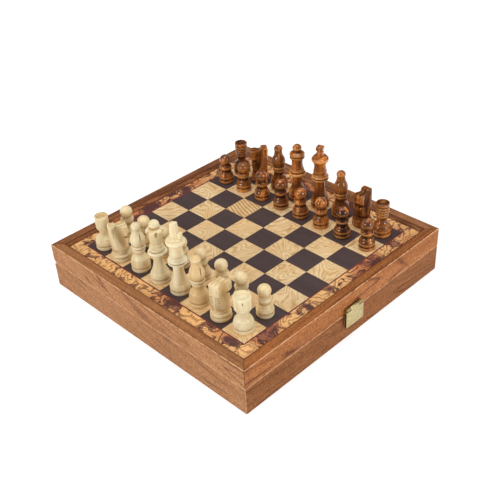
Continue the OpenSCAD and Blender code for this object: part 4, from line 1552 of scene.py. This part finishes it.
@dataclass
class Box:
    """The walnut rails, the board's veneers and the panels. These solids stay and take their finishes."""

    base_edges: tuple[float, ...] = (0.0284,)
    lid_edges: tuple[float, ...] = (0.0490, 0.0289)
    base_mitre: Colour = srgb(214, 168, 128)
    # Per side: the grain's run, place, lean and bow, the three colours, then two painted shades: how much
    # darker the base rail is drawn, and how dark the rim's top is drawn.
    sides: dict[str, Board] = field(default_factory=lambda: {
        "front": Board(Axis.X, (0.3, 0.1, 0.2), 0.05, 0.1, srgb(203, 132, 78), srgb(173, 106, 56),
                       srgb(90, 45, 24), base_painted_shade=0.69, crown=0.2),
        "back": Board(Axis.X, (1.3, 0.6, 0.4), 0.02, 0.05, srgb(198, 134, 86), srgb(160, 102, 62),
                      srgb(88, 48, 32), base_painted_shade=0.9, crown=0.35),
        "left": Board(Axis.Y, (0.8, 2.1, 0.7), 1.484, -0.74, srgb(208, 150, 102), srgb(180, 122, 76),
                      srgb(108, 64, 40), base_painted_shade=0.91, crown=0.5),
        "right": Board(Axis.Y, (2.2, 1.5, 0.1), -0.80, 0.2, srgb(202, 144, 98), srgb(172, 116, 74),
                       srgb(96, 56, 36), base_painted_shade=0.88, crown=0.16),
    })

    def rails(self) -> None:
        """Dress the eight rails, each with its own run of grain and its own colours; the base rails are drawn
        darker and the lid rims darker on top, as painted shade.
        """
        for side, board in self.sides.items():
            dress_nodes({
                f"lid_{side}_rail": Walnut(f"walnut_lid_{side}", board, self.lid_edges),
                f"base_{side}_rail": Walnut(f"walnut_base_{side}", board.lower(), self.base_edges,
                                            self.base_mitre),
            })

    def board(self) -> None:
        """Dress the squares, the dark line, the burl border and the panels."""
        dress_nodes({
            "light_squares": LightVeneer(),
            "dark_squares": DarkVeneer(),
            "burl_border": BurlVeneer(),
            "board_stringing": StraightWood("dark_line", Axis.X, srgb(138, 50, 46), srgb(96, 32, 36)),
            "board_panel": StraightWood("board_core", Axis.Y, srgb(214, 184, 140), srgb(178, 142, 98)),
            "base_bottom_panel": StraightWood("bottom_panel_walnut", Axis.Y, srgb(176, 124, 86),
                                              srgb(122, 80, 54)),
        })

    def build(self) -> None:
        """Dress the whole box."""
        self.rails()
        self.board()
        LOG.info("rails, veneers and panels dressed")


@dataclass
class Linings:
    """The felt in the base and under the board."""

    nap: float = 0.00012
    cells: int = 90

    def sheet(self, name: str, node: str, body: str, material: Material, under: str) -> None:
        """Lay one felt sheet in the space of its solid.

        Args:
            name: The sheet's name.
            node: The solid it stands for.
            body: The body it rides on.
            material: The felt.
            under: Not used.
        """
        low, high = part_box(node)
        middle = (low + high) / 2
        thick = high.z - low.z
        Bench.clear()
        bpy.ops.mesh.primitive_grid_add(x_subdivisions=self.cells, y_subdivisions=self.cells,
                                        size=high.x - low.x, location=(middle.x, middle.y, low.z))
        piece = Bench.settle(name)
        Bench.finish(piece, "SOLIDIFY", thickness=thick - self.nap, offset=1.0)
        Bench.bevel(piece, 0.3, 2)
        texture = bpy.data.textures.new(f"{name}_waviness", "CLOUDS")
        texture.noise_scale = 0.012
        Bench.finish(piece, "DISPLACE", texture=texture, strength=self.nap, mid_level=0.5)
        Bench.smooth(piece, 40.0)
        dress(piece, material)
        fit(piece, body, "felt", node)

    def build(self) -> None:
        """Lay both sheets."""
        green = Felt("green_felt").make()
        self.sheet("base_felt_sheet", "base_lining", "base", green, "base_bottom_panel")
        self.sheet("lid_felt_sheet", "lid_lining", "lid", green, "board_panel")


@dataclass
class Hinges:
    """The two brass butt hinges at the back, with their pins and screws."""

    def build(self) -> None:
        """Dress the leaves, pins and screws."""
        nodes = frame["nodes"]
        leaf = Metal("hinge_brass", Axis.X, srgb(214, 180, 112), srgb(170, 134, 76), 0.3).make()
        screw = Metal("screw_brass", Axis.Z, srgb(222, 190, 124), srgb(160, 124, 70), 0.28).make()
        for node in ("left_hinge_base_leaf", "left_hinge_lid_leaf", "right_hinge_base_leaf",
                     "right_hinge_lid_leaf", "hinge_pins"):
            dress(nodes[node], leaf)
        for node in ("base_screws", "lid_screws"):
            dress(nodes[node], screw)
        LOG.info("hinges dressed")


@dataclass
class Clasp:
    """The brushed flap clasp on the front."""

    round_over: float = 0.35
    thick: float = 2.0
    corner: float = 0.4
    gap: float = 0.3
    roll_width: float = 11.0
    knuckle_depth: float = 0.0035

    def flap(self, material: Material) -> None:
        """Make the flap: a softened plate with its rolled knuckle. Sizes are in millimetres."""
        low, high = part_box("latch_flap")
        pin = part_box("latch_pin")
        pin_middle = (pin[0] + pin[1]) / 2
        radius = high.z - pin_middle.z
        front, foot = low.y / MM, low.z / MM
        left, right = low.x / MM, high.x / MM
        top = pin_middle.z / MM - radius / MM - self.gap
        inset = self.corner
        outline = [(left + inset, foot), (right - inset, foot), (right, foot + inset), (right, top - inset),
                   (right - inset, top), (left + inset, top), (left, top - inset), (left, foot + inset)]
        back = front + self.thick
        plate = Bench.slab("clasp_flap", [(x, front, z) for x, z in outline], (0, back - front, 0))
        Bench.bevel(plate, self.round_over, 3)
        middle = (left + right) / 2
        tongue = Bench.block("tongue", (self.roll_width, 1.9, 2.6), (middle, front + 1.0, top + 0.4))
        Bench.combine(plate, tongue, "UNION")
        bpy.ops.mesh.primitive_cylinder_add(vertices=48, radius=radius, depth=self.roll_width * MM,
                                            location=(middle * MM, pin_middle.y, pin_middle.z),
                                            rotation=(0, math.pi / 2, 0))
        roll = Bench.settle("roll")
        Bench.bevel(roll, 0.2, 2)
        Bench.combine(plate, roll, "UNION")
        Bench.smooth(plate, 32.0)
        dress(plate, material)
        fit(plate, "latch", "clasp_metal", "latch_flap")

    def build(self) -> None:
        """Make the flap and dress the mount, keeper, pin and magnet."""
        low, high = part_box("latch_flap")
        # The flap's finish paints its side faces darker below the knuckle, as painted shade.
        self.flap(Metal("brushed_flap", Axis.X, srgb(210, 194, 146), srgb(182, 164, 114), 0.38,
                        plate=(low.y, high.z - self.knuckle_depth)).make())
        dress_nodes({
            "latch_mount": Metal("clasp_mount_brass", Axis.X, srgb(196, 174, 124), srgb(160, 138, 90), 0.36),
            "latch_keeper": Metal("brushed_clasp", Axis.X, srgb(206, 190, 144), srgb(178, 160, 112), 0.38),
            "latch_pin": Metal("clasp_pin_brass", Axis.X, srgb(210, 176, 104), srgb(160, 122, 62), 0.26),
            "latch_magnet": Metal("magnet_nickel", Axis.Z, srgb(150, 150, 152), srgb(110, 110, 114), 0.3),
        })


# The studio


@dataclass
class Studio:
    """Camera, floor, lights and surroundings."""

    lens: float = 59.72
    sensor: float = 36.0
    eye: Point = (-0.45944, -0.49288, 0.50575)
    right: Point = (0.70230, -0.71033, -0.04704)
    up: Point = (0.43638, 0.37735, 0.81681)
    forward: Point = (0.56246, 0.59417, -0.57498)
    floor_side: float = 30.0
    floor_gap: float = 0.0002
    haze: tuple[float, float] = (0.77, 0.15)

    def camera(self) -> None:
        """Set the camera where the photograph was taken from."""
        data = bpy.data.cameras.new("camera")
        data.lens = self.lens
        data.sensor_width = self.sensor
        data.sensor_fit = "HORIZONTAL"
        data.clip_start = 0.01
        camera = bpy.data.objects.new("camera", data)
        bpy.context.scene.collection.objects.link(camera)
        turn = Matrix((self.right, self.up, [-c for c in self.forward])).transposed()
        camera.matrix_world = Matrix.Translation(self.eye) @ turn.to_4x4()
        bpy.context.scene.camera = camera

    def floor(self) -> None:
        """Lay the pale floor."""
        Bench.clear()
        bpy.ops.mesh.primitive_plane_add(size=self.floor_side, location=(0, 0, -self.floor_gap))
        piece = Bench.settle("pale_floor")
        dress(piece, PaleFloor().make())
        Bench.clear()

    def lamp(self, name: str, place: Point, size: float, power: float, aim: Point = (0, 0, 0.05)) -> None:
        """Hang one soft light that points at the box.

        Args:
            name: The light's name.
            place: Where it hangs, in metres.
            size: The side of its square panel.
            power: Its power in watts.
            aim: What it points at.
        """
        data = bpy.data.lights.new(name, "AREA")
        data.shape = "SQUARE"
        data.size = size
        data.energy = power
        lamp = bpy.data.objects.new(name, data)
        bpy.context.scene.collection.objects.link(lamp)
        away = Vector(place) - Vector(aim)
        lamp.matrix_world = Matrix.Translation(place) @ away.to_track_quat("Z", "Y").to_matrix().to_4x4()

    def build(self) -> None:
        """Set up camera, floor and light."""
        self.camera()
        self.floor()
        self.lamp("left_softbox", (-1.32, 0.24, 0.66), 0.5, 9.4)
        self.lamp("right_softbox", (0.26, -1.36, 0.56), 0.5, 8.8)
        self.lamp("overhead", (0.1, 0.1, 1.5), 1.2, 14.0)
        world = bpy.data.worlds.new("studio")
        world.use_nodes = True
        background = world.node_tree.nodes["Background"]
        background.inputs["Color"].default_value = (1.0, 1.0, 1.0, 1.0)
        sheet = Sheet(world.node_tree)
        seen = sheet.node("LightPath").outputs["Is Camera Ray"]
        sheet.feed(background.inputs["Strength"], sheet.maths("MULTIPLY_ADD", seen, *self.haze))
        bpy.context.scene.world = world
        bpy.context.scene.view_settings.view_transform = "Standard"
        LOG.info("studio set up")


def main() -> None:
    """Build the studio, dress the box and set the men on it."""
    logging.basicConfig(level=logging.INFO, format="%(name)s: %(message)s")
    Bench.clear()
    Studio().build()
    Box().build()
    Linings().build()
    Hinges().build()
    Clasp().build()
    # In both woods the hollow colour is partly staining and partly painted shade, and the crest colour partly
    # rubbed wear and partly painted highlight.
    pale = TurnedWood("pale_turned_wood", pale=srgb(252, 240, 202), mid=srgb(240, 220, 172),
                      deep=srgb(222, 192, 138), hollow=srgb(204, 166, 112), crest=srgb(254, 246, 214),
                      warm=srgb(224, 180, 116), rough=0.32, coat=0.35, gloss=0.18, lines=34.0, contrast=0.3,
                      warmth=0.62, stain_and_shade=0.8)
    stained = TurnedWood("stained_turned_wood", pale=srgb(236, 146, 66), mid=srgb(106, 44, 16),
                         deep=srgb(22, 6, 3), hollow=srgb(20, 6, 3), crest=srgb(242, 168, 92),
                         warm=srgb(236, 144, 62), rough=0.28, coat=1.0, gloss=0.06, lines=54.0, contrast=0.9,
                         warmth=0.3, stain_and_shade=0.75)
    Chessmen().build({Army.WHITE: pale.make(), Army.BLACK: stained.make()})


if __name__ == "__main__":
    main()
